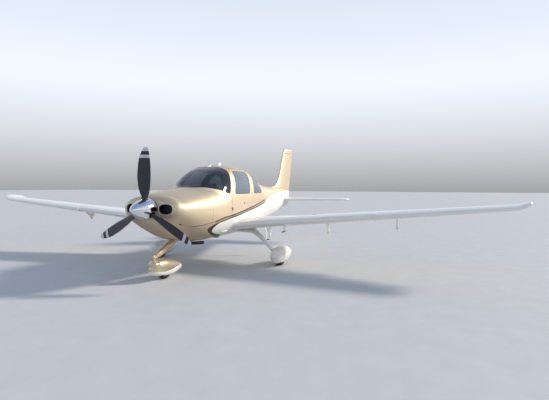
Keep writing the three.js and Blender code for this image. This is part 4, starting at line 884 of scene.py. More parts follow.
def openingPatch(name, shift):
    patch = gridPatch(np.linspace(*openings[name]["stations"]), np.linspace(*openings[name]["angles"]))
    return clip(patch, sideField(name, shift, -1))


def skinPiece(name, patch, mirror=False):
    return wallPiece(name, patch, fuselagePoint, cabin["skin"], mirror=mirror)


# glass a little smaller than its opening and a little behind the skin
def panePiece(name, opening, mirror=False):
    return wallPiece(name, openingPatch(opening, -cabin["glassGap"]), fuselagePoint, cabin["glass"],
                     lift=cabin["glassLift"], mirror=mirror, edge=sideField(opening, 0, -1))


print("cabin shell")
patch = gridPatch(np.linspace(cabin["firewall"] + cabin["seam"], cabin["bulkhead"], cabin["rows"]),
                  np.linspace(0, 2 * pi, cabin["around"] + 1))
for opening, shift in (("windscreen", 0), ("door", -cabin["doorGap"]), ("rearWindow", 0)):
    patch = clip(patch, sideField(opening, shift))
finishPiece(skinPiece("cabin_skin", patch), "fuselage headliner rubber", ["cabin_shell"])

print("windows")
finishPiece(panePiece("windscreen_pane", "windscreen"), "glass glass rubber", ["windscreen"])
for side, sideName in sides:
    door = {"body": f"door_{sideName}_body"}
    finishPiece(panePiece(f"rear_pane_{sideName}", "rearWindow", side < 0), "sideGlass sideGlass rubber",
                [f"rear_window_{sideName}"])
    patch = clip(openingPatch("door", 0), sideField("doorWindow"))
    finishPiece(skinPiece(f"door_panel_{sideName}", patch, side < 0), "fuselage trim rubber",
                [f"door_{sideName}"], **door)
    finishPiece(panePiece(f"door_pane_{sideName}", "doorWindow", side < 0), "sideGlass sideGlass rubber",
                [f"door_window_{sideName}"], **door)

# Cowlings

cowl = {
    "mouth": 452,
    "dome": 6,
    "domeStart": 100,
    "fineUntil": 560,
    "wall": 10,
    "split": 1170,
    "seam": 1.5,
    "inlet": {"across": 318, "height": 1209, "halfWidth": 120, "halfHeight": 78, "power": 2.5, "cut": 1.06},
    "shaftHole": 90,
    "frontOnly": 640,
    "outlet": {"from": 1270, "halfWidth": 240, "round": 60, "below": 700},
}


# the fuselage skin with a domed front: below the mouth's station the parameter shrinks the
# mouth's ring to its middle and moves it forward by a parabola of the fourth power
def cowlPoint(params):
    share = np.clip((params[..., 0] - (cowl["mouth"] - cowl["domeStart"])) / cowl["domeStart"], 0, 1)
    station = np.maximum(params[..., 0], cowl["mouth"])
    angle = params[..., 1]
    r = fuselageRadius(station, angle) * share
    station = station - cowl["dome"] * (1 - share ** 4)
    middle = np.where(params[..., 0] < cowl["mouth"], middleAt(cowl["mouth"]), middleAt(station))
    return place(station, r * np.cos(angle), middle + r * np.sin(angle))


# distance of a point beyond a rounded box, from its distances beyond the box's two sides
def roundedBox(beyond, radius):
    box = np.stack(beyond, -1) + radius
    return np.linalg.norm(np.maximum(box, 0), axis=-1) + np.minimum(box.max(-1), 0) - radius


# the least distance to the two inlets, the shaft's hole and the outlet below
def cowlField(params):
    p = cowlPoint(params) * 1000
    y, z, station = p[:, 1], p[:, 2], origin - p[:, 0]
    mouth, outlet = cowl["inlet"], cowl["outlet"]
    across = (np.abs(y) - mouth["across"]) / mouth["halfWidth"]
    up = (z - mouth["height"]) / mouth["halfHeight"]
    inlet = (np.abs(across) ** mouth["power"] + np.abs(up) ** mouth["power"]) ** (1 / mouth["power"])
    inlet = (inlet - mouth["cut"]) * mouth["halfHeight"]
    shaft = np.hypot(y, z - aircraft["propellerHeight"]) - cowl["shaftHole"]
    front = np.where(station < cowl["frontOnly"], np.minimum(inlet, shaft), 100)
    hole = roundedBox([np.abs(y) - outlet["halfWidth"], outlet["from"] - station], outlet["round"])
    return np.minimum(front, np.where(z < outlet["below"], hole, 100))


print("cowlings")
mouth, front = cowl["mouth"], cowl["fineUntil"]
rows = np.concatenate([np.linspace(mouth - 85, mouth, 30), np.linspace(mouth, front, 22)[1:],
                       np.linspace(front, cabin["firewall"] - cowl["seam"], 56)[1:]])
for low, high, name, node in ((0, pi, "cowl_upper", "upper_cowl"), (-pi, 0, "cowl_lower", "lower_cowl")):
    patch = gridPatch(rows, np.linspace(low - 0.25, high + 0.25, 150))
    sign = 1 if low == 0 else -1
    patch = clip(patch, lambda q: sign * (cowlPoint(q)[:, 2] * 1000 - cowl["split"]) - cowl["seam"] / 2)
    patch = clip(patch, cowlField)
    piece = wallPiece(name, patch, cowlPoint, cowl["wall"])
    finishPiece(piece, "fuselage primer rubber", [node])

# Tail cone

tail = {
    "end": 7500,
    "endRound": 14,
    "endRows": 6,
    "rows": 130,
    "notchStation": 7252,
    "notchHeight": 1240,
    "notchFall": 60,
    "around": 120,
}


# rings along the cone; behind the notch the sections stop at a flat top, and the last rows
# shrink towards the middle to round the end
def tailRings():
    turn = np.sin(np.linspace(0.2, pi / 2, tail["endRows"]))
    endStart = tail["end"] - tail["endRound"]
    start, notch = cabin["bulkhead"] + cabin["seam"], tail["notchStation"]
    stations = np.concatenate([np.linspace(start, notch, tail["rows"]), np.linspace(notch, endStart, 14),
                               tail["end"] - tail["endRound"] * (1 - turn)])
    notched = np.arange(len(stations)) >= tail["rows"]
    shrink = np.ones(len(stations))
    shrink[-tail["endRows"]:] = np.sqrt(1 - turn ** 2 * 0.985)
    s, a = np.meshgrid(stations, circle(tail["around"]), indexing="ij")
    r = fuselageRadius(s, a) * shrink[:, None]
    z = middleAt(s) + r * np.sin(a)
    flat = tail["notchHeight"] - (1 - shrink[:, None]) * tail["notchFall"]
    return place(s, r * np.cos(a), np.where(notched[:, None], np.minimum(z, flat), z))


print("tail")
cone = ringBody("tail_cone_skin", tailRings(), sharpAngle=35)
finishPiece(cone, "fuselage", ["tail_cone"], slot="white_paint")

# Wing

wing = {
    # distance out, station of the leading edge, chord, height, droop of the cuff
    "rows": [[0, 2352, 1598, 752, 0], [640, 2366, 1494, 808, 0], [3350, 2427, 1050, 1044, 0],
             [3353, 2427, 1050, 1044, 36], [5480, 2475, 708, 1229, 30], [5620, 2480, 684, 1242, 24],
             [5730, 2505, 633, 1272, 12], [5800, 2545, 560, 1303, 0], [5840, 2640, 400, 1326, 0]],
    "thickness": 0.15,
    "incidence": 0.032,
    "camber": 0.02,
    "hingeShare": 0.76,
    "gap": 5.5,
    "flapSpan": (690, 3690),
    "aileronSpan": (3720, 5400),
    "sectionPoints": 44,
    "tip": 5840,
    "tipRound": 60,
    # distances out where the cuff starts, and how far a bay is cut past its flap or aileron
    "cuffStart": (3350, 3353),
    "bayMargin": 6,
    "flapHinges": (955, 2290, 3665),
    "flapPivotDrop": (325, 282),
}


# half thickness of a four-digit section at a share of the chord
def halfThickness(u, share):
    polynomial = 0.2969 * np.sqrt(u) - 0.126 * u - 0.3516 * u ** 2 + 0.2843 * u ** 3 - 0.1015 * u ** 4
    return 5 * share * polynomial


# height of the wing's upper or lower side over its leading edge, per unit of chord
def surfaceHeight(u, sign):
    middle = 4 * wing["camber"] * u * (1 - u) - wing["incidence"] * u
    return middle + sign * np.maximum(halfThickness(u, wing["thickness"]), 0.0012)


def wingRow(y):
    return [float(v) for v in rowsBetween(wing["rows"], y)]


# a point of the wing: share of the chord, upper or lower side, distance out
def wingPoint(u, sign, y, thin=1.0):
    lead, chord, height, cuff = rowsBetween(wing["rows"], y)
    droop = cuff * np.maximum(0, 1 - u / 0.25) ** 2
    middle = (surfaceHeight(u, 1) + surfaceHeight(u, -1)) / 2
    z = height - 0.4 * droop + (middle + (surfaceHeight(u, sign) - middle) * thin) * chord
    return place(lead + u * chord - droop, y, z)


# station, height and radius of the hinge line's round nose at a distance out
def hingeAt(y):
    lead, chord, height, _ = rowsBetween(wing["rows"], y)
    u = np.asarray(wing["hingeShare"], float)
    top, low = surfaceHeight(u, 1) * chord, surfaceHeight(u, -1) * chord
    return lead + u * chord, height + (top + low) / 2, (top - low) / 2


def hingePoint(y, side=1):
    station, height, _ = hingeAt(y)
    return place(station, side * y, height)


# one section of the wing as a closed ring: from the rear over the top to the nose and back
# below; in a bay the rear is a hollow arc round the hinge line
def wingRing(y, bay):
    n = wing["sectionPoints"]
    beyond = max(0.0, y - (wing["tip"] - wing["tipRound"])) / (wing["tipRound"] + 2)
    thin = sqrt(max(0.0, 1 - beyond ** 2))
    station, height, radius = (float(v) for v in hingeAt(y))
    lead, chord = wingRow(y)[:2]
    reach = radius + wing["gap"]
    end = 1.0
    if bay:
        end = (station - sqrt(reach ** 2 - radius ** 2) - lead) / chord
    u = (1 - np.cos(np.linspace(0, pi, n))) / 2 * end
    upper, lower = wingPoint(u[::-1], 1, y, thin), wingPoint(u[1:], -1, y, thin)
    if bay:
        start = np.arctan2(upper[0, 2] * 1000 - height, -(upper[0, 0] * 1000 - (origin - station)))
        last = np.arctan2(lower[-1, 2] * 1000 - height, -(lower[-1, 0] * 1000 - (origin - station)))
        arc = np.linspace(last - 2 * pi if last > 0 else last, start - 2 * pi, 12)[1:-1]
        rear = place(station + reach * np.cos(arc), y, height + reach * np.sin(arc))
    else:
        t = np.linspace(0, 1, 12)[1:-1, None]
        rear = lower[-1] * (1 - t) + upper[0] * t
    return np.concatenate([upper, lower, rear])


# both halves from tip to tip; a bay's end has two rings at one place
def wingRings():
    (f0, f1), (a0, a1) = ((start - wing["bayMargin"], end + wing["bayMargin"])
                          for start, end in (wing["flapSpan"], wing["aileronSpan"]))
    tipStart = wing["tip"] - wing["tipRound"]
    rings = []
    for start, end, bay, count in ((0, f0, False, 8), (f0, f1, True, 46), (f1, a0, False, 2),
                                   (a0, a1, True, 26), (a1, tipStart, False, 14)):
        extra = [y for y in wing["cuffStart"] if start < y < end]
        rings += [wingRing(float(y), bay) for y in np.unique([*np.linspace(start, end, count), *extra])]
    tip = tipStart + wing["tipRound"] * np.sin(np.linspace(0, pi / 2, 14))
    rings += [wingRing(float(y), False) for y in tip]
    half = np.array(rings)
    return np.concatenate([half[:0:-1] * mirrored, half])


print("wing")
piece = ringBody("wing_skin", wingRings(), sharpAngle=38)
finishPiece(piece, "white", ["wing"])


# a control surface section: round nose about the hinge line and the wing's own rear sides
def controlRing(y):
    station, height, radius = (float(v) for v in hingeAt(y))
    lead, chord, base, _ = wingRow(y)
    u = np.linspace(1, wing["hingeShare"], 14)[:-1]
    arc = np.linspace(pi / 2, 3 * pi / 2, 22)
    upper = place(lead + u * chord, y, base + surfaceHeight(u, 1) * chord)
    lower = place(lead + u[::-1] * chord, y, base + surfaceHeight(u[::-1], -1) * chord)
    nose = place(station + radius * np.cos(arc), y, height + radius * np.sin(arc))
    return np.concatenate([upper, nose, lower])


# moves a ring's points along the span onto the plane square to the hinge line
def squareRing(ringAt, y):
    near, far = ringAt(y - 40), ringAt(y + 40)
    axis = hingePoint(y + 40) - hingePoint(y - 40)
    along = far - near
    share = ((hingePoint(y) - near) @ axis) / (along @ axis)
    return near + along * share[:, None]


def controlRings(span, count):
    ys = np.linspace(span[0], span[1], count)
    rings = [controlRing(float(y)) for y in ys]
    rings[0], rings[-1] = squareRing(controlRing, span[0]), squareRing(controlRing, span[1])
    return np.array([rings[0], *rings[3:-3], rings[-1]])


for side, sideName in sides:
    for kind, span in (("flap", wing["flapSpan"]), ("aileron", wing["aileronSpan"])):
        piece = ringBody(f"{kind}_skin_{sideName}", controlRings(span, 34), sharpAngle=38, mirror=side < 0)
        finishPiece(piece, "white", [f"{kind}_{sideName}"], body=f"{kind}_{sideName}_body")

# Tail surfaces

tailPlane = {
    "thickness": 0.11,
    "height": 1202,
    "hinge": 7330,
    "gap": 8,
    "elevatorRoot": 170,
    # half length and radius of the tube that joins the two elevators, in metres
    "tube": (0.19, 0.015),
    "straight": 1860,
    "tip": 1925,
    "tipRound": 22,
    # distance out, stations of the leading and the trailing edge
    "rows": [[0, 6665, 7625], [1860, 7040, 7622], [1925, 7085, 7618], [1947, 7150, 7612]],
}


def symmetricHalf(u, chord):
    return np.maximum(halfThickness(np.clip(u, 0, 1), tailPlane["thickness"]) * chord, 0)


# the front of a symmetric section as shares of the chord, closed behind by a hollow face
def frontSection(lead, chord, hinge, count=26):
    radius = float(symmetricHalf((hinge - lead) / chord, chord))
    cut = (hinge - radius * 0.55 - tailPlane["gap"] - lead) / chord
    u = cut * (1 - np.cos(np.linspace(0, pi / 2, count)))
    half = symmetricHalf(u, chord)
    t = np.linspace(-1, 1, 9)[1:-1]
    rear = lead + cut * chord - radius * 0.4 * (1 - t ** 2)
    return (np.concatenate([lead + u[::-1] * chord, lead + u[1:] * chord, rear]),
            np.concatenate([half[::-1], -half[1:], half[-1] * t]))


# the rear of a symmetric section: round nose at the hinge and sides that run to a thin edge
def rearSection(lead, chord, hinge, trail):
    radius = float(symmetricHalf((hinge - lead) / chord, chord))
    arc = np.linspace(pi / 2, 3 * pi / 2, 17)
    t = np.linspace(1, 0, 16)[:-1]
    half = 2.5 + (radius - 2.5) * (1 - t)
    return (np.concatenate([hinge + (trail - hinge) * t, hinge + radius * np.cos(arc),
                            hinge + (trail - hinge) * t[::-1]]),
            np.concatenate([half, radius * np.sin(arc), -half[::-1]]))


# rings out to a round tip over the last stretch of the span, each from a section's stations and
# half heights
def tailPlaneRings(ys, section):
    shape, rings = tailPlane, []
    for y in ys:
        lead, trail = (float(v) for v in rowsBetween(shape["rows"], y))
        thin = sqrt(max(0.0, 1 - (max(0.0, y - shape["tip"]) / (shape["tipRound"] + 1)) ** 2))
        s, h = section(lead, trail, thin)
        rings.append(place(s, y, shape["height"] + h * thin))
    return np.array(rings)


tipRise = tailPlane["tipRound"] * np.sin(np.linspace(0, pi / 2, 8))[1:]


def stabiliserRings():
    straight, tip = tailPlane["straight"], tailPlane["tip"]
    ys = np.concatenate([np.linspace(0, straight, 16), np.linspace(straight, tip, 5)[1:], tip + tipRise])
    half = tailPlaneRings(ys, lambda lead, trail, _: frontSection(lead, trail - lead, tailPlane["hinge"]))
    return np.concatenate([half[:0:-1] * mirrored, half])


# the elevator's round nose shrinks whole at the tip, so that it clears the tailplane as it turns
def elevatorSection(lead, trail, thin):
    hinge = tailPlane["hinge"]
    s, h = rearSection(lead, trail - lead, hinge, trail)
    return hinge + (s - hinge) * np.where(s < hinge, thin, 1), h


def elevatorRings():
    ys = np.linspace(tailPlane["elevatorRoot"], tailPlane["tip"], 16)
    return tailPlaneRings(np.concatenate([ys, tailPlane["tip"] + tipRise]), elevatorSection)


piece = ringBody("tailplane_skin", stabiliserRings(), sharpAngle=38)
finishPiece(piece, "white", ["stabiliser"])
for side, sideName in sides:
    piece = ringBody(f"elevator_skin_{sideName}", elevatorRings(), sharpAngle=38, mirror=side < 0)
    finishPiece(piece, "white", ["elevator"] if side > 0 else (), body="elevator_body")
half, radius = tailPlane["tube"]
tube = [[y, radius] for y in np.linspace(-half, half, 9)]
piece = turnedPiece("elevator_tube", tube, place(tailPlane["hinge"], 0, tailPlane["height"]), (0, 1, 0), 32)
finishPiece(piece, "alloy", body="elevator_body", slot="white_paint")

# Fin and rudder by height: leading edge, hinge and trailing edge

finShape = {
    "rows": [[1180, 5900, 7288, 7560], [1545, 5900, 7354, 7652], [1575, 6180, 7359, 7660],
             [1640, 6430, 7371, 7676], [1740, 6585, 7389, 7700], [1880, 6700, 7414, 7735],
             [2150, 6838, 7463, 7802], [2560, 7046, 7537, 7905], [2640, 7092, 7551, 7918],
             [2690, 7170, 7560, 7920], [2715, 7300, 7565, 7905]],
    "chordLimit": 950,
    "filletReach": 320,
    "rudderBottom": 1252,
    "hornBottom": 2574,
    # height where the crown's rounding starts, and its rise
    "crown": (2690, 25),
    # heights that part the fin's rings: foot, fillet, straight part and top, and the rings between
    "finHeights": (1300, 1560, 1900, 2560),
    "finRows": (10, 40, 20),
}
finLead, finHinge, finTrail = columnCurves(finShape["rows"])


# leading edge, hinge, trailing edge and chord at a height; the chord stops growing in the fillet
def finSizes(height):
    lead, hinge, trail = float(finLead(height)), float(finHinge(height)), float(finTrail(height))
    return lead, hinge, trail, min(trail - lead, finShape["chordLimit"])


# a fin section; below its straight part the dorsal fillet draws the nose forward
def finRing(height):
    lead, hinge, trail, chord = finSizes(height)
    front = trail - chord
    s, h = frontSection(front, chord, hinge, 40)
    share = np.clip((front + finShape["filletReach"] - s) / finShape["filletReach"], 0, 1)
    return place(s - (front - lead) * share, h, height)


def rudderRing(height):
    _, hinge, trail, chord = finSizes(height)
    s, h = rearSection(trail - chord, chord, hinge, trail)
    return place(s, h, height)


# the horn over the fin's top, a whole nose section that runs on into the rudder
def hornRing(height, thin):
    lead, trail = float(finLead(height)), float(finTrail(height))
    u = 0.8 * (1 - np.cos(np.linspace(0, pi / 2, 24)))
    half = symmetricHalf(u, trail - lead) * thin
    s = lead + u * (trail - lead)
    return place(np.concatenate([s[::-1], s[1:]]), np.concatenate([half[::-1], -half[1:]]), height)


edges = finShape["finHeights"]
heights = np.unique([h for low, high, n in zip(edges, edges[1:], finShape["finRows"])
                     for h in np.linspace(low, high, n)])
finishPiece(ringBody("fin_skin", [finRing(h) for h in heights], 38), "fuselage", ["fin"])
crownStart, crownRise = finShape["crown"]
crown = crownRise * np.sin(np.linspace(0, pi / 2, 8))[1:]
thins = np.sqrt(1 - (crown / (crownRise + 1)) ** 2)
heights = np.concatenate([np.linspace(finShape["rudderBottom"], crownStart, 40), crownStart + crown])
rings = np.array([rudderRing(h) for h in heights])
rings[-len(thins):, :, 1] *= thins[:, None]
finishPiece(ringBody("rudder_skin", rings, 38), "fuselage", ["rudder"], body="rudder_body")
heights = np.concatenate([np.linspace(finShape["hornBottom"], crownStart, 12), crownStart + crown])
rings = [hornRing(h, thin) for h, thin in zip(heights, [1.0] * 12 + list(thins))]
finishPiece(ringBody("rudder_horn", rings, 38), "fuselage", body="rudder_body")

# Landing gear

def legRings():
    ys = np.linspace(gear["legRows"][0][0], gear["legRows"][-1][0], gear["legRings"])
    station, height, half, thick = (c(ys) for c in columnCurves(gear["legRows"]))
    along = unit(np.stack([np.gradient(ys), np.gradient(height)], -1))
    angle = circle(48)
    s = station[:, None] - half[:, None] * np.cos(angle)
    t = thick[:, None] * np.sin(angle) * (1 + 0.25 * np.cos(angle))
    return place(s, ys[:, None] - along[:, 1:] * t, height[:, None] + along[:, :1] * t)


# a fairing's skin: rows give the outline, and each section is an ellipse with its sine and
# cosine drawn outwards by a power; a cap at either end shrinks to a point by a circle
def pantSurface(rows, nose, y):
    bottom, top, half = columnCurves(rows)
    length, cap, power = rows[-1][0], gear["pantCap"], gear["pantPower"]

    def surface(params):
        v, angle = params[..., 0], params[..., 1]
        behind = np.clip(v, 0, length)
        over = np.maximum(-v, 0) + np.maximum(v - length, 0)
        shrink = np.sqrt(np.clip(1 - (over / cap) ** 2, 0, 1))
        middle, rise = (bottom(behind) + top(behind)) / 2, (top(behind) - bottom(behind)) / 2
        bulge = np.where(v < 0, -cap * (1 - shrink ** 2), gear["pantEnd"] * (1 - shrink))
        return place(nose + behind + bulge, y + half(behind) * powered(np.cos(angle), power) * shrink,
                     middle + rise * powered(np.sin(angle), power) * shrink)

    return surface


# a wheel fairing with an opening for its wheel
def pantPiece(name, rows, nose, wheel, mirror=False):
    surface, length, cap = pantSurface(rows, nose, wheel["y"]), rows[-1][0], gear["pantCap"]
    first, front = -cap * np.sin(np.linspace(pi / 2, 0, 10)), gear["pantFront"]
    v = np.unique([*first, *np.linspace(0, front, 22), *np.linspace(front, length, 70), *(length - first)])
    reach, half = wheel["radius"] + 14, wheel["half"] + 10

    def opening(params):
        p = surface(params) * 1000
        behind, out = origin - p[:, 0] - wheel["station"], p[:, 1] - wheel["y"]
        hole = roundedBox([np.abs(behind) - reach, np.abs(out) - half], 30)
        return np.where(p[:, 2] < gear["pantOpenBelow"], hole, 60)

    patch = clip(gridPatch(v, np.linspace(-pi, pi, 89) + 0.02), opening)
    return wallPiece(name, patch, surface, gear["pantWall"], (0.5, 1e-3), mirror=mirror,
                     poles=((-cap, 1), (length + cap, -1)))


print("gear")
for side, sideName in sides:
    piece = ringBody(f"leg_skin_{sideName}", legRings(), sharpAngle=38, mirror=side < 0)
    finishPiece(piece, "white", [f"main_leg_{sideName}"])
    piece = pantPiece(f"main_pant_{sideName}", gear["mainPantRows"], gear["mainPantNose"], gear["mainWheel"],
                      side < 0)
    finishPiece(piece, "mainPant darkTrim white", [f"main_fairing_{sideName}"])
piece = pantPiece("nose_pant", gear["nosePantRows"], gear["nosePantNose"], gear["noseWheel"])
finishPiece(piece, "pant darkTrim pant", ["nose_fairing"], body="nose_castor")


# a tyre that fills its node's box: a rounded section drawn outwards by a power, with three grooves
# round the tread, each a bell curve across it
def tyrePiece(node):
    low, high = (np.array(v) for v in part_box(node))
    middle, (_, half, radius) = (low + high) / 2, (high - low) / 2
    inner = 0.5 * radius
    angle = circle(96)
    across = half * powered(np.cos(angle), 0.62)
    r = (radius + inner) / 2 + (radius - inner) / 2 * powered(np.sin(angle), 0.72)
    grooves = sum(np.exp(-((across - share * half) / 0.003) ** 2) for share in gear["tyreGrooves"])
    r = r - 0.005 * grooves * (np.sin(angle) > 0)
    return turnedPiece(f"{node}_grooved", np.stack([across, r], -1), middle, (0, 1, 0), 84, 50, closed=True)


for node, body in (("nose_tyre", "nose_wheel_body"), ("main_left_tyre", "main_wheel_left_body"),
                   ("main_right_tyre", "main_wheel_right_body")):
    finishPiece(tyrePiece(node), "tyre", [node], body=body)

# Propeller

propeller = {
    # station and radius
    "spinnerRows": [[0, 0], [14, 29], [60, 69], [150, 118], [270, 157], [426, 178]],
    "bladeStation": 345,
    "bladeHole": 58,
    "wall": 4,
    "turns": [k * 2 * pi / 3 - 0.02 for k in range(3)],
    # radii where the blade starts, where its tip's rounding starts, and where it ends
    "bladeSpan": (150, 960, 990),
    # radius, chord, pitch in degrees, share of the chord ahead of the axis, thickness share
    "bladeRows": [[150, 78, 44, 0.5, 0.7], [205, 102, 42, 0.5, 0.4], [277, 150, 40, 0.52, 0.22],
                  [400, 192, 35, 0.56, 0.15], [535, 210, 30, 0.58, 0.11], [690, 199, 25, 0.58, 0.1],
                  [812, 175, 22, 0.57, 0.09], [905, 128, 19, 0.52, 0.08], [962, 88, 18, 0.46, 0.08],
                  [990, 56, 18, 0.4, 0.08]],
}
hub = place(propeller["bladeStation"], 0, aircraft["propellerHeight"])


# a bullet shape: the radius is a monotone curve of the square root of the station
def spinnerPoint(params):
    rows = np.array(propeller["spinnerRows"], float)
    rows[:, 0] = np.sqrt(rows[:, 0])
    r, angle = columnCurve(rows, 1)(params[..., 0]), params[..., 1]
    return place(params[..., 0] ** 2, r * np.cos(angle), aircraft["propellerHeight"] + r * np.sin(angle))


# distance to the round hole that each blade leaves by
def bladeHoleField(params):
    p = (spinnerPoint(params) - hub) * 1000
    best = np.full(len(p), 1e9)
    for turn in propeller["turns"]:
        axis = np.array([0, -sin(turn), cos(turn)])
        along = p @ axis
        away = np.linalg.norm(p - along[:, None] * axis, axis=1) - propeller["bladeHole"]
        best = np.minimum(best, np.where(along > 0, away, 1e3))
    return best


# an upright blade: oval sections along the chord, each turned by its pitch; the second result is
# 1 at the leading edge and -1 at the trailing one
def bladeRings():
    start, tip, end = propeller["bladeSpan"]
    r = np.concatenate([np.linspace(start, tip, 54), np.linspace(tip, end, 8)[1:]])
    chord, pitch, ahead, thick = (c(r)[:, None] for c in columnCurves(propeller["bladeRows"]))
    angle, turn = circle(36), np.radians(pitch)
    along = (np.cos(angle) / 2 + 0.5 - ahead) * chord
    across = np.sin(angle) * chord * thick / 2 * (1 + 0.35 * np.cos(angle))
    x = along * np.sin(turn) + across * np.cos(turn)
    y = -along * np.cos(turn) + across * np.sin(turn)
    rings = np.stack([-x, -y, np.broadcast_to(r[:, None], x.shape)], -1) / 1000
    return rings, np.broadcast_to(-np.cos(angle), x.shape)


print("propeller")
patch = gridPatch(np.sqrt(np.concatenate([np.linspace(0, 1, 8) ** 2 * 14, np.linspace(14, 426, 60)[1:]])),
                  np.linspace(0, 2 * pi, 145))
piece = wallPiece("spinner_shell", clip(patch, bladeHoleField), spinnerPoint, propeller["wall"],
                  (0.02, 1e-3), poles=((0, 1),))
finishPiece(piece, "chrome darkTrim chrome", ["spinner"], body="propeller")
rings, lead = bladeRings()
for k, turn in enumerate(propeller["turns"]):
    turned = rings @ np.array(Matrix.Rotation(turn, 3, "X")).T + hub
    piece = ringBody(f"blade_{k + 1}", turned, sharpAngle=60, attributes={"lead": lead})
    finishPiece(piece, "blade", [f"propeller_blade_{k + 1}"], body="propeller")

# Fillets and fairings

fairing = {
    # share of the chord, reach of the root fillet
    "rootReach": [[0, 105], [0.08, 95], [0.3, 85], [0.6, 75], [0.72, 62], [1, 50]],
    "rootPoints": 60,
    # how far the fillet's edges and its closing corner lie inside wing and fuselage
    "edgeSink": 1.5,
    "cornerSink": (14, 16),
    # distances out where the leg's fairing starts, starts to sink and ends
    "legSpan": (600, 700, 885),
    # corners of the flap's fixed bracket and of its arm: [from, stations back, height over it]
    "bracket": [["hinge", -330, -20], ["hinge", -85, -20], ["hinge", -82, -60], ["pivot", 24, 30],
                ["pivot", 24, -24], ["pivot", -26, -26], ["pivot", -60, 40], ["hinge", -250, -110]],
    "arm": [["pivot", -24, 30], ["pivot", -24, -22], ["pivot", 26, -24], ["pivot", 34, 30],
            ["rear", 6, -50], ["rear", 0, -8], ["hinge", 10, 0]],
    "armShare": 0.13,
    "pin": [[-0.026, 0.006], [-0.024, 0.009], [0.018, 0.009], [0.02, 0.006]],
}


# a fillet all round the wing root: for each point of the section where it meets the fuselage, a
# quadratic curve from the wing a reach further out, over that corner, to the fuselage the same
# reach off the section; the corner pushed inside closes each ring
def rootFillet(name, mirror):
    n = fairing["rootPoints"]
    u = (1 - np.cos(np.linspace(0, pi, n))) / 2
    shares, signs = np.concatenate([u[::-1], u[1:]]), np.repeat([1.0, -1.0], [n, n - 1])
    reach = np.interp(shares, *np.array(fairing["rootReach"], float).T)

    def onWing(y):
        p = np.array([wingPoint(a, b, c)[()] for a, b, c in zip(shares, signs, y)]) * 1000
        return np.stack([origin - p[:, 0], p[:, 1], p[:, 2]], -1)

    y = np.full(len(shares), 620.0)
    for _ in range(4):
        p = onWing(y)
        y = fuselageSide(p[:, 0], p[:, 2])
    corner = onWing(y)
    section = corner[:, [0, 2]]
    ahead = unit(np.gradient(section, axis=0))
    out = np.stack([-ahead[:, 1], ahead[:, 0]], -1)
    out *= np.sign(((section - section.mean(0)) * out).sum(1))[:, None]
    off = section + out * reach[:, None]
    far = np.column_stack([off[:, 0], fuselageSide(*off.T) - fairing["edgeSink"], off[:, 1]])
    near = onWing(y + reach)
    near[:, [0, 2]] -= out * fairing["edgeSink"]
    across, inward = fairing["cornerSink"]
    inside = section - out * across
    deep = np.column_stack([inside[:, 0], y - inward, inside[:, 1]])
    deep[:, 2] = np.where(np.abs(out[:, 1]) > 0.3, deep[:, 2], corner[:, 2])
    t = np.linspace(0, 1, 12)[:, None, None]
    curve = (1 - t) ** 2 * near + 2 * t * (1 - t) * corner + t ** 2 * far
    rings = np.concatenate([curve, deep[None]]).transpose(1, 0, 2)
    return ringBody(name, place(*np.moveaxis(rings, -1, 0)), sharpAngle=50, mirror=mirror)


# a fairing over the leg's root: the leg's own section, whose upper half reaches to the wing above it
# and sinks back to the leg further out by a smooth step
def legFairing(name, mirror):
    curves = columnCurves(gear["legRows"])
    start, sinks, end = fairing["legSpan"]
    angle = circle(48)
    rings = []
    for y in np.linspace(start, end, 26):
        station, height, half, thick = (float(c(y)) for c in curves)
        s = station - half * 1.05 * np.cos(angle)
        lead, chord, base, _ = wingRow(y)
        under = base + surfaceHeight((s - lead) / chord, -1) * chord + 6
        low = height + (thick + 3) * np.sin(angle)
        share = np.clip((y - sinks) / (end - sinks), 0, 1)
        share = 1 - share * share * (3 - 2 * share)
        lift = np.maximum(under - low, 0) * np.sqrt(np.maximum(np.sin(angle), 0)) * share ** 1.5
        rings.append(place(s, y, low + lift))
    return ringBody(name, rings, sharpAngle=50, mirror=mirror)


# station and height of the flap's pivot at a distance out: it lies below the hinge line by a drop
# that changes evenly along the flap
def flapPivot(y):
    start, end = wing["flapSpan"]
    first, last = (np.array(hingeAt(out)[:2], float) - (0, drop)
                   for out, drop in zip(wing["flapSpan"], wing["flapPivotDrop"]))
    return first + (y - start) / (end - start) * (last - first)


print("fairings")
for side, sideName in sides:
    mirror = side < 0
    finishPiece(rootFillet(f"root_fillet_{sideName}", mirror), "fuselage", slot="white_paint")
    finishPiece(legFairing(f"leg_fairing_{sideName}", mirror), "white")
    for k, y in enumerate(wing["flapHinges"]):
        hinge, pivot = np.array(hingeAt(y)[:2], float), flapPivot(y)
        start = {"hinge": hinge, "pivot": pivot, "rear": hinge + (fairing["armShare"] * wingRow(y)[1], 0)}
        for kind, y0, y1, rounding, body in (("bracket", y, y + 14, 20, "airframe"),
                                             ("arm", y - 5, y - 19, 16, f"flap_{sideName}_body")):
            outline = [start[corner] + (s, h) for corner, s, h in fairing[kind]]
            piece = platePiece(f"flap_{kind}_{sideName}_{k + 1}", outline, y0, y1, rounding, mirror=mirror)
            finishPiece(piece, "white", body=body)
        at = place(pivot[0], side * y, pivot[1])
        pin = turnedPiece(f"flap_pin_{sideName}_{k + 1}", fairing["pin"], at, (0, side, 0), 24)
        finishPiece(pin, "alloy", slot="white_paint")

# Cowl openings, exhaust and nose leg

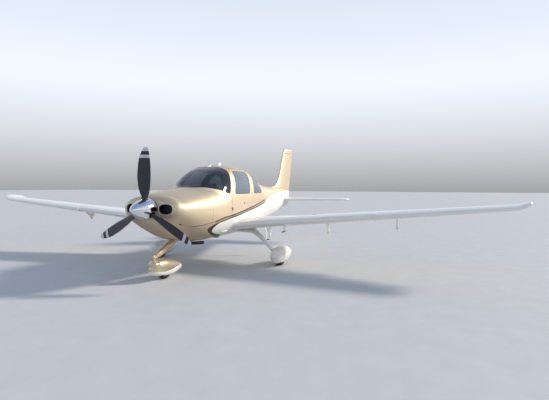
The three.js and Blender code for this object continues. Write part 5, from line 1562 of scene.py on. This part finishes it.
fitting = {
    # distances behind the front up to which a duct follows the cowl, and from which it is straight;
    # the station that the straight part counts from, and how much it leans inwards
    "followsFront": 20,
    "straightFrom": 80,
    "ductStart": 480,
    "ductLean": 0.25,
    # scale of the inlet's outline, distance behind the cowl's front
    "lip": [[1.17, 1.5], [1.15, -3], [1.11, -6.5], [1.06, -7], [1.02, -3], [1.005, 5], [1.005, 14],
            [1.13, 12]],
    "duct": [[1.005, 14], [0.96, 40], [0.88, 100], [0.8, 170], [0.85, 172], [0.93, 104], [1.02, 44],
             [1.06, 12]],
    # station, height, half width, half depth
    "noseLegRows": [[548, 388, 30, 20], [560, 392, 43, 30], [632, 412, 45, 38], [760, 442, 45, 46],
                    [1000, 540, 46, 52], [1180, 612, 50, 60], [1330, 680, 56, 66]],
    # station where its rings grow wider apart
    "noseLegFront": 575,
    # station of the rounded end of the nose leg over the castor, and its heights and radii in metres
    "legCapStation": 560,
    "legCap": [[0.3705, 0.039], [0.374, 0.0425], [0.418, 0.0425], [0.43, 0.038], [0.4385, 0.027],
               [0.442, 0.001]],
    # height, station, half length, half width
    "forkCover": [[222, 602, 88, 85], [239, 600, 99, 96], [268, 599, 102, 98], [300, 596, 98, 94],
                  [320, 588, 82, 77], [338, 576, 62, 58], [354, 567, 46, 43], [363, 563, 36, 34],
                  [366, 562, 28, 27]],
    "legCollar": [[238, 2808, 20, 8], [244, 2808, 66, 22], [262, 2807, 98, 32], [290, 2806, 108, 36],
                  [316, 2805, 96, 31], [332, 2804, 62, 20], [338, 2804, 20, 7]],
    "collarOut": 1284,
    "pipeRadius": 30,
    "pipeWall": 2.5,
    # station, distance out, height
    "exhaust": [[1215, 168, 800], [1250, 170, 735], [1325, 170, 640], [1450, 172, 550], [1600, 180, 527],
                [1868, 195, 507]],
}


# station of the cowl's front at a distance out and a height: on the dome it follows the share of
# the mouth's radius, and behind it the station is halved down to where the radius fits
def cowlStation(y, z):
    up = z - float(middleAt(cowl["mouth"]))
    angle, r = np.arctan2(up, y), np.hypot(y, up)
    share = r / fuselageRadius(np.full_like(r, cowl["mouth"]), angle)
    low, high = np.full_like(r, cowl["mouth"]), np.full_like(r, 760.0)
    for _ in range(30):
        m = (low + high) / 2
        small = np.hypot(y, z - middleAt(m)) > fuselageRadius(m, np.arctan2(z - middleAt(m), y))
        low, high = np.where(small, m, low), np.where(small, high, m)
    return np.where(share < 1, cowl["mouth"] - cowl["dome"] * (1 - np.minimum(share, 1) ** 4), low)


# a hoop round an inlet from [scale, distance behind the cowl's front] pairs; deep ones go straight
# back from the front's rearmost line and lean inwards
def inletHoop(name, profile, mirror):
    mouth = cowl["inlet"]
    angle = circle(72)
    rings = []
    for scale, back in profile:
        y = mouth["across"] + mouth["halfWidth"] * scale * powered(np.cos(angle), 2 / mouth["power"])
        z = mouth["height"] + mouth["halfHeight"] * scale * powered(np.sin(angle), 2 / mouth["power"])
        station = cowlStation(y, z) + back
        if back > fitting["followsFront"]:
            share = min(1, back / fitting["straightFrom"])
            station = station * (1 - share) + (fitting["ductStart"] + back) * share
        rings.append(place(station, y - fitting["ductLean"] * max(back, 0), z))
    return hoopPiece(name, rings, 50, mirror)


# a hollow tube along a path: an outer skin, an open end and an inner skin back to the start
def pipePiece(name, path, radius, wall):
    path = smoothPath(path, 60)
    path = place(*path.T)
    outer, inner = (tubeRings(path, r / 1000, 32, up=(0, 1, 0)) for r in (radius, radius - wall))
    return hoopPiece(name, np.concatenate([outer, inner[::-1]]), 40)


# the nose leg as a long drop-shaped fairing with a shallow ridge along each side
def noseLegRings():
    curves = columnCurves(fitting["noseLegRows"])
    start, end, nose = fitting["noseLegRows"][0][0], fitting["noseLegRows"][-1][0], fitting["noseLegFront"]
    stations = np.concatenate([np.linspace(start, nose, 7), np.linspace(nose, end, 40)[1:]])
    angle = circle(60)
    height, half, deep = (c(stations)[:, None] for c in curves)
    ridge = 1 + 0.07 * np.exp(-(((angle - 0.35) % pi) / 0.16) ** 2)
    y = half * np.cos(angle) * ridge
    z = height + deep * np.sin(angle) * (1 - 0.12 * np.cos(angle) ** 2)
    return place(stations[:, None], y, z)


print("openings")
for side, sideName in sides:
    # the lips' paler finish is a painted highlight on their gold paint
    finishPiece(inletHoop(f"inlet_lip_{sideName}", fitting["lip"], side < 0), "lip")
    finishPiece(inletHoop(f"inlet_duct_{sideName}", fitting["duct"], side < 0), "rubber")
pipe = pipePiece("exhaust_tube", fitting["exhaust"], fitting["pipeRadius"], fitting["pipeWall"])
finishPiece(pipe, "steel", ["exhaust_pipe"])
finishPiece(ringBody("nose_leg_skin", noseLegRings(), 40), "gold")
at = place(fitting["legCapStation"], 0, 0)
finishPiece(turnedPiece("nose_leg_cap", fitting["legCap"], at, (0, 0, 1), 56, 50), "gold")
finishPiece(levelPiece("nose_fairing_hump", fitting["forkCover"], power=0.66), "pant", body="nose_castor")
for side, sideName in sides:
    collar = levelPiece(f"leg_collar_{sideName}", fitting["legCollar"], fitting["collarOut"],
                        mirror=side < 0)
    finishPiece(collar, "white")

# Small fittings

small = {
    # first and last station and number of the screws beside the cowls' split, and their distance
    # over and under it; the heights of those ahead of the firewall and their distance from it
    "splitScrews": (600, 1420, 12),
    "splitEdges": (22, -24),
    "wallScrews": (700, 800, 900, 1000, 1090, 1250, 1340, 1420),
    "wallEdge": 22,
    # station and height of the door's lock and handle; distances aft and out of the handle's bow
    "lock": (2785, 1236),
    "handle": (3010, 1236),
    "bow": [(-62, -2), (-56, 6), (-40, 10), (0, 11), (40, 10), (56, 6), (62, -2)],
    # share of the chord and distance out
    "fuelCap": (0.24, 2150),
    "fuelDrain": (0.5, 1200),
    "tieDown": (0.3, 3300),
    "panelShares": (0.42, 0.5, 0.58),
    "panelSpans": (1900, 2900, 4100),
    # static wicks: distances out, radii, length inside and outside, droop, in metres
    "wingWicks": (4300, 5200),
    "tailWick": (7620, 1500, 1202),
    "wickRadii": [0.003, 0.003, 0.0018],
    "wickInside": 0.012,
    "wickOutside": 0.09,
    "wickDroop": 0.004,
    # door hinge: station, height, distance off the skin, lean in degrees, heights of its two halves
    "doorHinge": (2203, 1220, 3, 8),
    "doorHalves": (1145, 1295),
    "doorPin": [[-0.026, 0.004], [-0.025, 0.005], [0.025, 0.005], [0.026, 0.004]],
    "doorKnuckle": [[-0.016, 0.009], [-0.015, 0.01], [0.015, 0.01], [0.016, 0.009]],
    # boarding step: station and height where it leaves the skin, points further down, tread, its
    # strut's first distances off the skin and heights, and the rubber dots on the tread
    "step": (4030, 700),
    "stepPath": [[4030, 622, 604], [4030, 638, 560], [4030, 640, 470], [4030, 640, 348]],
    "tread": ((3973, 4087), (588, 722), (337, 351)),
    "stepTop": ((-40, 694), (12, 672)),
    "gripHeight": 350.5,
    "gripStations": range(4070, 3980, -20),
    "gripSpans": range(604, 712, 20),
    "mast": [[2500, 835], [2590, 840], [2560, 712], [2500, 702]],
    "mastPlate": (1594, 1606, 6, 3),
    "pitot": [[-0.07, 0.009], [-0.065, 0.011], [0.1, 0.011], [0.122, 0.008], [0.124, 0.004]],
    "pitotAt": (2530, 1600, 706),
    # wing-tip lamp: distances out that give its direction, its middle, and half length and radius
    "lampSpan": (5750, 5815),
    "lampMiddle": 5783,
    "lampCover": (0.048, 0.017),
    "lampBulb": (0.016, 0.008),
    "aileronPin": [[-0.015, 0.006], [0.015, 0.006]],
    "rudderPin": [[0, 0.005], [0.002, 0.006], [0.066, 0.006], [0.068, 0.005]],
    "rudderPinHeights": (1212, 1282),
    # name, station, height, half length, half width, height off the skin, finish, slot
    # the cowl slot is a flat black dome: its black is painted shade, standing for the dark inside of a slot
    # that is not cut
    "blisters": [("cowl_slot", 679, 952.5, 36, 10, 1.5, "rubber", None),
                 ("root_bump", 2150, 706, 150, 26, 15, "fuselage", "white_paint")],
    "antennas": [("front", 2440, 48, 32, 13), ("rear", 3040, 52, 34, 17)],
    # the door's seal: stations and angles round the fuselage, distances from the door's outline
    "sealStations": (2150, 3430, 120),
    "sealAngles": (-0.4, 1.46, 110),
    "sealInside": 16,
    "sealOutside": 12,
}


# many small domes or screws in one mesh: each is a short ring stack along its outward normal
def domes(name, places, radius, high, mirror=False):
    n = 16
    first, second = np.arange(n), np.roll(np.arange(n), -1)
    cap = np.stack([np.full(n, 4 * n), 3 * n + second, 3 * n + first], -1)
    foot = np.stack([np.full(n, 4 * n + 1), first, second], -1)
    order = np.concatenate([gridFaces(4, n, wrap=True), cap, foot])
    points, tris = [], []
    for base, out in places:
        across = unit(np.cross(out, [0, 0.2, 1.0]))
        ring = spokes(across, np.cross(out, across), n)
        rings = [base + (ring * radius * r + out * h) / 1000
                 for r, h in ((1, -2), (1, high * 0.5), (0.8, high), (0.3, high))]
        one = np.concatenate(rings + [[base + out * high / 1000], [base - out * 0.002]])
        tris.append(outward(one, order) + len(one) * len(points))
        points.append(one)
    return meshObject(name, np.concatenate(points), np.concatenate(tris), sharpAngle=40, mirror=mirror)


def skinAngle(station, height):
    return np.arctan2(height - float(middleAt(station)), float(fuselageSide(station, height)))


# the point and outward side of the fuselage at a station and height
def onSkin(station, height):
    params = np.array([[station, skinAngle(station, height)]], float)
    return fuselagePoint(params)[0], surfaceNormals(fuselagePoint, params)[0]


# the point and outward side of the wing's upper or lower face at a share of the chord
def onWingFace(u, y, sign):
    p = np.asarray(wingPoint(u, sign, y), float).ravel()
    q, r = (np.asarray(wingPoint(u + du, sign, y + dy), float).ravel() for du, dy in ((0.01, 0), (0, 20)))
    out = unit(np.cross(q - p, r - p))
    return p, out if out[2] * sign > 0 else -out


def wickPiece(name, tip, droop, body):
    path = [tip + (small["wickInside"], 0, 0), tip, tip - (small["wickOutside"], 0, droop)]
    finishPiece(tubePiece(name, path, small["wickRadii"], 10), "rubber", body=body)


# two lugs and a pin on the shell, a knuckle and its arm on the door, for each half of the hinge
def doorHinge(side, sideName, door):
    station, height, proud, lean = small["doorHinge"]
    middle = np.array([origin - station, side * (float(fuselageSide(station, height)) + proud), height])
    axis = np.array([0, -side * sin(radians(lean)), cos(radians(lean))])
    for k, z in enumerate(small["doorHalves"]):
        at, label = middle + axis * (z - height), f"{sideName}_{k + 1}"
        y = abs(at[1])
        finishPiece(turnedPiece(f"door_pin_{label}", small["doorPin"], at / 1000, axis, 20), "alloy")
        knuckle = turnedPiece(f"door_knuckle_{label}", small["doorKnuckle"], at / 1000, axis, 24)
        finishPiece(knuckle, "gold", **door)
        for kind, stations, (inner, outer), (low, high), more in (
                (f"lug_{label}_{z - 27}", (2196, 2237), (-21, 7), (-27, -18), {}),
                (f"lug_{label}_{z + 18}", (2196, 2237), (-21, 7), (18, 27), {}),
                (f"arm_{label}", (2208, 2255), (-20, 4), (-14, 14), door)):
            block = blockPiece(f"door_{kind}", stations, (y + inner, y + outer), (z + low, z + high), 6, 1,
                               side < 0)
            finishPiece(block, "gold", **more)


print("fittings")
for side, sideName in sides:
    mirror, flip = side < 0, np.array([1, side, 1])
    door = {"body": f"door_{sideName}_body"}
    screws = [onSkin(s, cowl["split"] + edge) for edge in small["splitEdges"]
              for s in np.linspace(*small["splitScrews"])]
    screws += [onSkin(cabin["firewall"] - small["wallEdge"], h) for h in small["wallScrews"]]
    panels = [onWingFace(u, y, -1) for y in small["panelSpans"] for u in small["panelShares"]]
    drain = [(onWingFace(*small["fuelDrain"], -1)[0], np.array([0, 0, -1.0]))]
    grips = [(place(s, y, small["gripHeight"]), np.array([0, 0, 1.0])) for s in small["gripStations"]
             for y in small["gripSpans"]]
    for kind, places, radius, high, material, more in (
            ("cowl_screws", screws, 6, 0.8, "gold", {"slot": "gold_metal"}),
            ("door_lock", [onSkin(*small["lock"])], 17, 2.5, "darkTrim", door),
            ("fuel_cap", [onWingFace(*small["fuelCap"], 1)], 42, 3.0, "alloy", {}),
            ("wing_screws", panels, 6, 1.0, "alloy", {}),
            ("fuel_drain", drain, 10, 12, "alloy", {}),
            ("step_grip", grips, 5, 2.0, "rubber", {}),
            ("nose_fairing_screw", [(place(646, 103.5, 234), np.array([0, 1.0, 0]))], 10, 1.2, "rubber",
             {"body": "nose_castor"})):
        finishPiece(domes(f"{kind}_{sideName}", places, radius, high, mirror), material, **more)
    base, out = onSkin(*small["handle"])
    bow = np.array([base + (-aft / 1000, 0, 0) + out * off / 1000 for aft, off in small["bow"]]) * flip
    finishPiece(tubePiece(f"door_handle_{sideName}", bow, 0.007, squash=0.7), "gold", **door)
    doorHinge(side, sideName, door)
    for k, y in enumerate(small["wingWicks"]):
        tip = np.asarray(wingPoint(0.995, 1, y), float).ravel() * flip
        wickPiece(f"wick_{sideName}_{k + 1}", tip, small["wickDroop"], f"aileron_{sideName}_body")
    wickPiece(f"wick_tail_{sideName}", place(*small["tailWick"]) * flip, 0, "elevator_body")
    # boarding step: a flattened strut bent down to a ribbed tread
    top = float(fuselageSide(*small["step"]))
    start = [[small["step"][0], top + off, height] for off, height in small["stepTop"]]
    path = smoothPath(start + small["stepPath"], 30)
    strut = tubePiece(f"step_strut_{sideName}", place(*path.T) * flip, 0.028, 28, 0.42, (0, side, 0.3))
    finishPiece(strut, "white", [f"boarding_step_{sideName}"])
    finishPiece(blockPiece(f"step_tread_{sideName}", *small["tread"], 26, 4, mirror), "rubber")
    if side > 0:
        finishPiece(platePiece("pitot_mast", small["mast"], *small["mastPlate"]), "white")
        tube = turnedPiece("pitot_tube", small["pitot"], place(*small["pitotAt"]), (1, 0, 0), 28)
        finishPiece(tube, "engine", slot="white_metal")
    at = onWingFace(*small["tieDown"], -1)[0] * flip
    ring = [[0.004 * cos(a), 0.014 + 0.004 * sin(a)] for a in circle(12)]
    ring = turnedPiece(f"tie_down_{sideName}", ring, at - (0, 0, 0.006), (0, 1, 0), 28, closed=True)
    finishPiece(ring, "alloy")
    # wing-tip lamp under its clear cover
    inner, outer = (np.array(wingRow(y)) for y in small["lampSpan"])
    rise, middle = outer - inner, (inner + outer) / 2
    axis = np.array([-rise[0], side * (small["lampSpan"][1] - small["lampSpan"][0]), rise[2]])
    at = place(middle[0] + 9, side * small["lampMiddle"], middle[2])
    for kind, (long, wide), ahead, material in (("cover", small["lampCover"], 0, "lens"),
                                                ("bulb", small["lampBulb"], 0.004,
                                                 "redLamp" if side > 0 else "greenLamp")):
        profile = [[-long * cos(a), max(wide * sin(a), 1e-4)] for a in np.linspace(0, pi, 19)]
        piece = turnedPiece(f"wing_lamp_{kind}_{sideName}", profile, at + (ahead, 0, 0), axis, 32)
        finishPiece(piece, material, [f"wing_light_{sideName}"] if kind == "cover" else (), slot="lens")
    # pins on the hinge line, at both ends of the aileron
    ends = [hingePoint(y, side) for y in wing["aileronSpan"]]
    for k, end in enumerate(ends):
        name = f"aileron_pin_{sideName}_{k + 1}"
        finishPiece(turnedPiece(name, small["aileronPin"], end, ends[1] - ends[0], 20), "alloy")
    # a flat black dome on the lower cowl, painted shade for the inside of a cooling slot, and the wing
    # root's front bump
    for name, station, height, *size, material, slot in small["blisters"]:
        bump = blister(f"{name}_{sideName}", station, skinAngle(station, height), *size, mirror)
        finishPiece(bump, material, slot=slot)
    # a rubber seal round the door's opening, behind the door's own edge
    patch = gridPatch(np.linspace(*small["sealStations"]), np.linspace(*small["sealAngles"]))
    patch = clip(patch, sideField("door", small["sealInside"]))
    patch = clip(patch, sideField("door", small["sealOutside"], -1))
    seal = wallPiece(f"door_seal_{sideName}", patch, fuselagePoint, 5, lift=-31, mirror=mirror)
    finishPiece(seal, "rubber rubber rubber")
for name, station, *size in small["antennas"]:
    finishPiece(blister(f"antenna_puck_{name}", station, pi / 2, *size), "white")
base, tip = (place(finHinge(h), 0, h) for h in small["rudderPinHeights"])
finishPiece(turnedPiece("rudder_pin", small["rudderPin"], base, tip - base, 24), "alloy")

# Seats: padded pieces are swelled as cloth in a frame of their own, then put in place

seats = {
    "voxel": 0.0065,
    "quickShare": 2.2,
    "pressure": 4.0,
    "frames": 20,
    "cap": 0.022,
    "groove": 0.006,
    "grooveWidth": 0.007,
    "edgeWidth": 0.006,
    "edgeShrink": 0.012,
    # name, half extents along, across and through before swelling, bolster, grooves lengthwise and
    # crosswise, station, distance out and height of the middle, pitch in degrees
    "pads": [
        ("front_pad", (0.205, 0.205, 0.05), 0.02, (-0.1, 0.1), (-0.05,), (2765, 280, 1062), 5),
        ("front_back", (0.2, 0.2, 0.042), 0.018, (-0.09, 0.09), (0.02,), (3036, 280, 1300), 104.5),
        ("headrest", (0.056, 0.115, 0.032), 0.0, (), (), (3104, 280, 1578), 104.5),
        ("rear_pad", (0.2, 0.4, 0.05), 0.012, (-0.2, 0, 0.2), (-0.05,), (3620, 0, 1062), 5),
        ("rear_back", (0.2, 0.4, 0.042), 0.012, (-0.2, 0, 0.2), (0.02,), (3888, 0, 1290), 104.5),
    ],
    "fill": 0.8,
    "frontBase": ((2590, 3010), (110, 450), (901, 1004), 30, 6),
    "rearBase": ((3450, 3870), (-410, 410), (901, 1004), 30, 6),
    "frontShell": [[2985, 1010], [3040, 1010], [3120, 1330], [3168, 1480], [3130, 1500], [3078, 1330]],
    "rearShell": [[3840, 1010], [3900, 1010], [3975, 1330], [4015, 1470], [3985, 1480], [3930, 1330]],
    # the shells' distances out, rounding and bevel
    "frontPlate": (85, 475, 14, 6),
    "rearPlate": (-415, 415, 14, 6),
    # the headrests' posts: distances out, then stations and heights of their ends
    "posts": (240, 320),
    "postStations": [3086, 3100],
    "postHeights": [1480, 1560],
}


# a plump block: superellipse sections whose size falls off at both ends with the eighth power,
# with raised sides where bolster is above nought
def padForm(half, bolster):
    long, wide, thick = half
    s = np.sin(np.linspace(-pi / 2, pi / 2, 40))
    size = (1 - np.abs(s) ** 8) ** (1 / 8)
    size[[0, -1]] = 0.6
    angle = circle(64)
    c, d = np.cos(angle), np.sin(angle)
    y = wide * powered(c, 0.4) * size[:, None]
    z = thick * powered(d, 0.5) * size[:, None]
    z = z + bolster * np.clip(np.abs(y) / wide - 0.62, 0, 1) / 0.38 * (z > 0)
    x = np.broadcast_to((long * s)[:, None], y.shape)
    return ringBody("pad", np.stack([x, y, z], -1), sharpAngle=None)


def coordinates(mesh):
    found = np.empty(3 * len(mesh.vertices), np.float32)
    mesh.vertices.foreach_get("co", found)
    return found.reshape(-1, 3).astype(float)


# remeshed, swelled by pressure without weight, each point moved no further than the cap
def swell(piece):
    scene = bpy.context.scene
    remesh = piece.modifiers.new("remesh", "REMESH")
    remesh.mode, remesh.voxel_size = "VOXEL", seats["voxel"] * 1
    made = bpy.data.meshes.new_from_object(piece.evaluated_get(bpy.context.evaluated_depsgraph_get()))
    piece.modifiers.clear()
    piece.data = made
    start = coordinates(made)
    cloth = piece.modifiers.new("cloth", "CLOTH")
    cloth.settings.use_pressure = True
    cloth.settings.uniform_pressure_force = seats["pressure"]
    cloth.settings.effector_weights.gravity = 0
    cloth.point_cache.frame_start, cloth.point_cache.frame_end = 1, seats["frames"]
    for number in range(1, seats["frames"] + 1):
        scene.frame_set(number)
    ended = coordinates(piece.evaluated_get(bpy.context.evaluated_depsgraph_get()).data)
    piece.modifiers.clear()
    scene.frame_set(1)
    move = ended - start
    far = np.linalg.norm(move, axis=1, keepdims=True)
    start = start + move * np.minimum(1, seats["cap"] / np.maximum(far, 1e-9))
    return start


# sewn grooves across the front face, and a seam round the edge: each sinks by a bell curve of the
# distance to it
def sewn(points, lengthwise, crosswise, half):
    x, y, z = points.T
    front = np.clip(z / (0.5 * half[2]), 0, 1)
    width = seats["grooveWidth"]
    sink = sum((np.exp(-((y - at) / width) ** 2) for at in lengthwise), np.zeros(len(x)))
    sink = np.maximum(sink, sum((np.exp(-((x - at) / width) ** 2) for at in crosswise), np.zeros(len(x))))
    z = z - front * sink * seats["groove"]
    shrink = 1 - seats["edgeShrink"] * np.exp(-(z / seats["edgeWidth"]) ** 2)
    return np.stack([x * shrink, y * shrink, z], -1)


# puts a padded piece in place, once or on both sides: along, across and through are its own three
# directions
def padded(name, half, bolster, lengthwise, crosswise, middle, pitch):
    piece = padForm(half, bolster)
    points = sewn(swell(piece), lengthwise, crosswise, half)
    a = radians(pitch)
    along, across, through = np.array([[cos(a), 0, sin(a)], [0, 1, 0], [-sin(a), 0, cos(a)]])
    if pitch > 45:
        across, through = -across, -through
    turned = points[:, :1] * along + points[:, 1:2] * across + points[:, 2:] * through
    station, y, height = middle
    both = [piece, linked("pad", piece.data.copy())] if y else [piece]
    for one, (side, sideName) in zip(both, sides):
        one.name = one.data.name = f"{name}_{sideName}" if y else name
        moved = turned + place(station, side * y, height)
        one.data.vertices.foreach_set("co", moved.astype(np.float32).ravel())
        one.data.polygons.foreach_set("use_smooth", np.ones(len(one.data.polygons), bool))
        one.data.update()
        finishPiece(one, "leather")


print("seats")
for pad in seats["pads"]:
    padded(*pad)
for side, sideName in sides:
    mirror = side < 0
    base = blockPiece(f"seat_base_{sideName}", *seats["frontBase"], mirror)
    finishPiece(base, "carpet", [f"front_seat_{sideName}"])
    shell = platePiece(f"seat_shell_{sideName}", seats["frontShell"], *seats["frontPlate"], mirror)
    finishPiece(shell, "darkTrim")
    for k, y in enumerate(seats["posts"]):
        ends = place(seats["postStations"], side * y, seats["postHeights"])
        finishPiece(tubePiece(f"headrest_post_{sideName}_{k + 1}", ends, 0.007, 14), "chrome", slot="trim")
finishPiece(blockPiece("rear_seat_base", *seats["rearBase"]), "carpet", ["rear_seat"])
finishPiece(platePiece("rear_seat_shell", seats["rearShell"], *seats["rearPlate"]), "darkTrim")

# Cabin fittings

cockpit = {
    "panel": [[1640, 1432], [1640, 1468], [1990, 1470], [2030, 1462], [2030, 1435], [1965, 1425],
              [1985, 1120], [1955, 1120], [1900, 1418]],
    "clear": 32,
    "yokeOut": 480,
    "yokeRod": ([1965, 2110], 1290, 0.012),
    "yokeGrip": ((2100, 2130), (440, 490), (1236, 1348), 12, 8),
    "lever": ([2080, 2085, 2100], 20, [1180, 1215, 1245]),
    "leverRadii": [0.006, 0.006, 0.005],
    # name, stations, distances out, heights, rounding, bevel, finish
    "blocks": [
        ("pedestal", (1950, 2120), (-108, 108), (902, 1178), 20, 6, "darkTrim"),
        ("screen_frame_left", (1970, 1992), (136, 429), (1191, 1399), 10, 3, "darkTrim"),
        ("screen_left", (1985, 1995), (150, 415), (1205, 1385), 4, 1, "screen"),
        ("screen_frame_middle", (1970, 1992), (-149, 144), (1191, 1399), 10, 3, "darkTrim"),
        ("screen_middle", (1985, 1995), (-135, 130), (1205, 1385), 4, 1, "screen"),
        ("lever_knob", (2086, 2114), (2, 38), (1240, 1262), 9, 5, "rubber"),
        ("console", (2130, 2600), (-70, 70), (902, 1040), 22, 8, "darkTrim"),
    ],
    # name, station, distances out, heights, radius, height off the panel, finish, slot
    "dots": [
        ("panel_knobs", 1992.5, (140, 425, -145, 120), (1215, 1300, 1375), 8, 12, "rubber", None),
        ("panel_dials", 1975, (-210, -290), (1220, 1300, 1380), 31, 14, "screen", None),
        ("panel_switches", 1984, range(140, 440, 32), (1165,), 7, 14, "alloy", "trim"),
    ],
    # arm rest: first and last station, middle height, half width, half height, distance off the skin
    "armRest": (2330, 3060, 1120, 30, 26, 24),
}


# the panel under its glare shield: its outline seen from the side is carried across, and each of
# its corners goes out to a share of the skin's own half width there
def panelRings():
    outline = roundCorners(cockpit["panel"], 8, 4)
    station, height = outline.T
    side = fuselageSide(station, height) - cockpit["clear"]
    return np.array([place(station, share * side, height) for share in np.linspace(-1, 1, 17)])


# a cushion along the door's inside, thinner towards its ends by the eighth power
def armRestRings():
    start, end, height, wide, high, off = cockpit["armRest"]
    stations, angle = np.linspace(start, end, 20), circle(24)
    rings = []
    for station, out in zip(stations, fuselageSide(stations, height) - off):
        share = sqrt(max(0.02, 1 - ((station - (start + end) / 2) / ((end - start) / 2 + 7)) ** 8))
        y, z = out - 24 + wide * share * np.cos(angle), height + high * share * np.sin(angle)
        rings.append(place(station, y, z))
    return rings


print("cabin fittings")
finishPiece(ringBody("panel_body", panelRings(), 30), "darkTrim", ["instrument_panel"])
stations, height, radius = cockpit["yokeRod"]
for side, sideName in sides:
    ends = place(stations, side * cockpit["yokeOut"], height)
    finishPiece(tubePiece(f"yoke_rod_{sideName}", ends, radius, 20), "alloy", slot="trim")
    finishPiece(blockPiece(f"yoke_grip_{sideName}", *cockpit["yokeGrip"], side < 0), "rubber")
    rest = ringBody(f"arm_rest_{sideName}", armRestRings(), mirror=side < 0)
    finishPiece(rest, "leather", body=f"door_{sideName}_body")
for *block, material in cockpit["blocks"]:
    finishPiece(blockPiece(*block), material)
for name, station, ys, zs, radius, high, material, slot in cockpit["dots"]:
    places = [(place(station, y, z), np.array([-1.0, 0, 0])) for y in ys for z in zs]
    finishPiece(domes(name, places, radius, high), material, slot=slot)
lever = tubePiece("power_lever", place(*cockpit["lever"]), cockpit["leverRadii"], 14)
finishPiece(lever, "alloy", slot="trim")

# CAD nodes that keep their shape

keptFinish = {
    "engine_block": "engine", "firewall": "alloy", "aft_bulkhead": "trim", "cabin_floor": "carpet",
    "nose_leg": "gold", "nose_fork": "gold",
    "roof_antenna_front": "white", "roof_antenna_rear": "white", "propeller_hub": "darkTrim",
    "main_axle_left": "alloy", "main_axle_right": "alloy",
    "nose_wheel": "alloy", "main_left_wheel": "alloy", "main_right_wheel": "alloy",
}
for name, material in keptFinish.items():
    nodes[name].data.materials.clear()
    nodes[name].data.materials.append(finish[material])

# Studio

studio = {
    "camera": {
        "at": (9.532, 4.386, 1.588),
        "forward": (-0.93785943, -0.34556379, -0.03170739),
        "right": (-0.34582946, 0.93829213, 0.00314221),
        "up": (-0.02866496, -0.01391231, 0.99949225),
        "focalPixels": 444.07,
        "imageWidth": 549,
        "sensorWidth": 36,
        "reach": 400,
    },
    "toKey": (-0.569, 0.685, 0.456),
    "keyEnergy": 3.55,
    "keyAngle": 7.0,
    "keyTint": (1.0, 0.94, 0.86),
    "horizon": (140, 140, 141),
    "haze": (226, 231, 239),
    "zenith": (122, 140, 168),
    "skyStrength": 1.35,
    "floorHalf": 120,
}


print("studio")
view = studio["camera"]
data = bpy.data.cameras.new("camera")
data.sensor_width = view["sensorWidth"]
data.lens = view["focalPixels"] / view["imageWidth"] * view["sensorWidth"]
data.clip_end = view["reach"]
camera = linked("camera", data)
turn = Matrix([view["right"], view["up"], [-v for v in view["forward"]]]).transposed()
camera.matrix_world = Matrix.Translation(view["at"]) @ turn.to_4x4()
bpy.context.scene.camera = camera

data = bpy.data.meshes.new("floor")
half = studio["floorHalf"]
corners = [(-half, -half, 0), (half, -half, 0), (half, half, 0), (-half, half, 0)]
data.from_pydata(corners, [], [(0, 1, 2, 3)])
data.materials.append(plainFinish("floor_pale", (196, 196, 195), (190, 190, 189), 0.7, grain=0.0))
floor = linked("floor", data)

# a soft studio sky: pale near the horizon, a deeper grey-blue above
world = bpy.data.worlds.new("studio")
bpy.context.scene.world = world
world.use_nodes = True
sky = world.node_tree
upward = add(sky, "SeparateXYZ", {0: add(sky, "TexCoord").outputs["Generated"]}).outputs[2]
low = mixColour(sky, mapRange(sky, upward, -0.02, 0.22), studio["horizon"], studio["haze"])
feed(sky, sky.nodes["Background"], {
    0: mixColour(sky, mapRange(sky, upward, 0.1, 0.85), low, studio["zenith"]), 1: studio["skyStrength"]})
data = bpy.data.lights.new("key", "SUN")
data.energy, data.angle, data.color = studio["keyEnergy"], radians(studio["keyAngle"]), studio["keyTint"]
key = linked("key", data)
key.rotation_euler = Vector(studio["toKey"]).to_track_quat("Z", "Y").to_euler()
bpy.context.scene.view_settings.view_transform = "Standard"
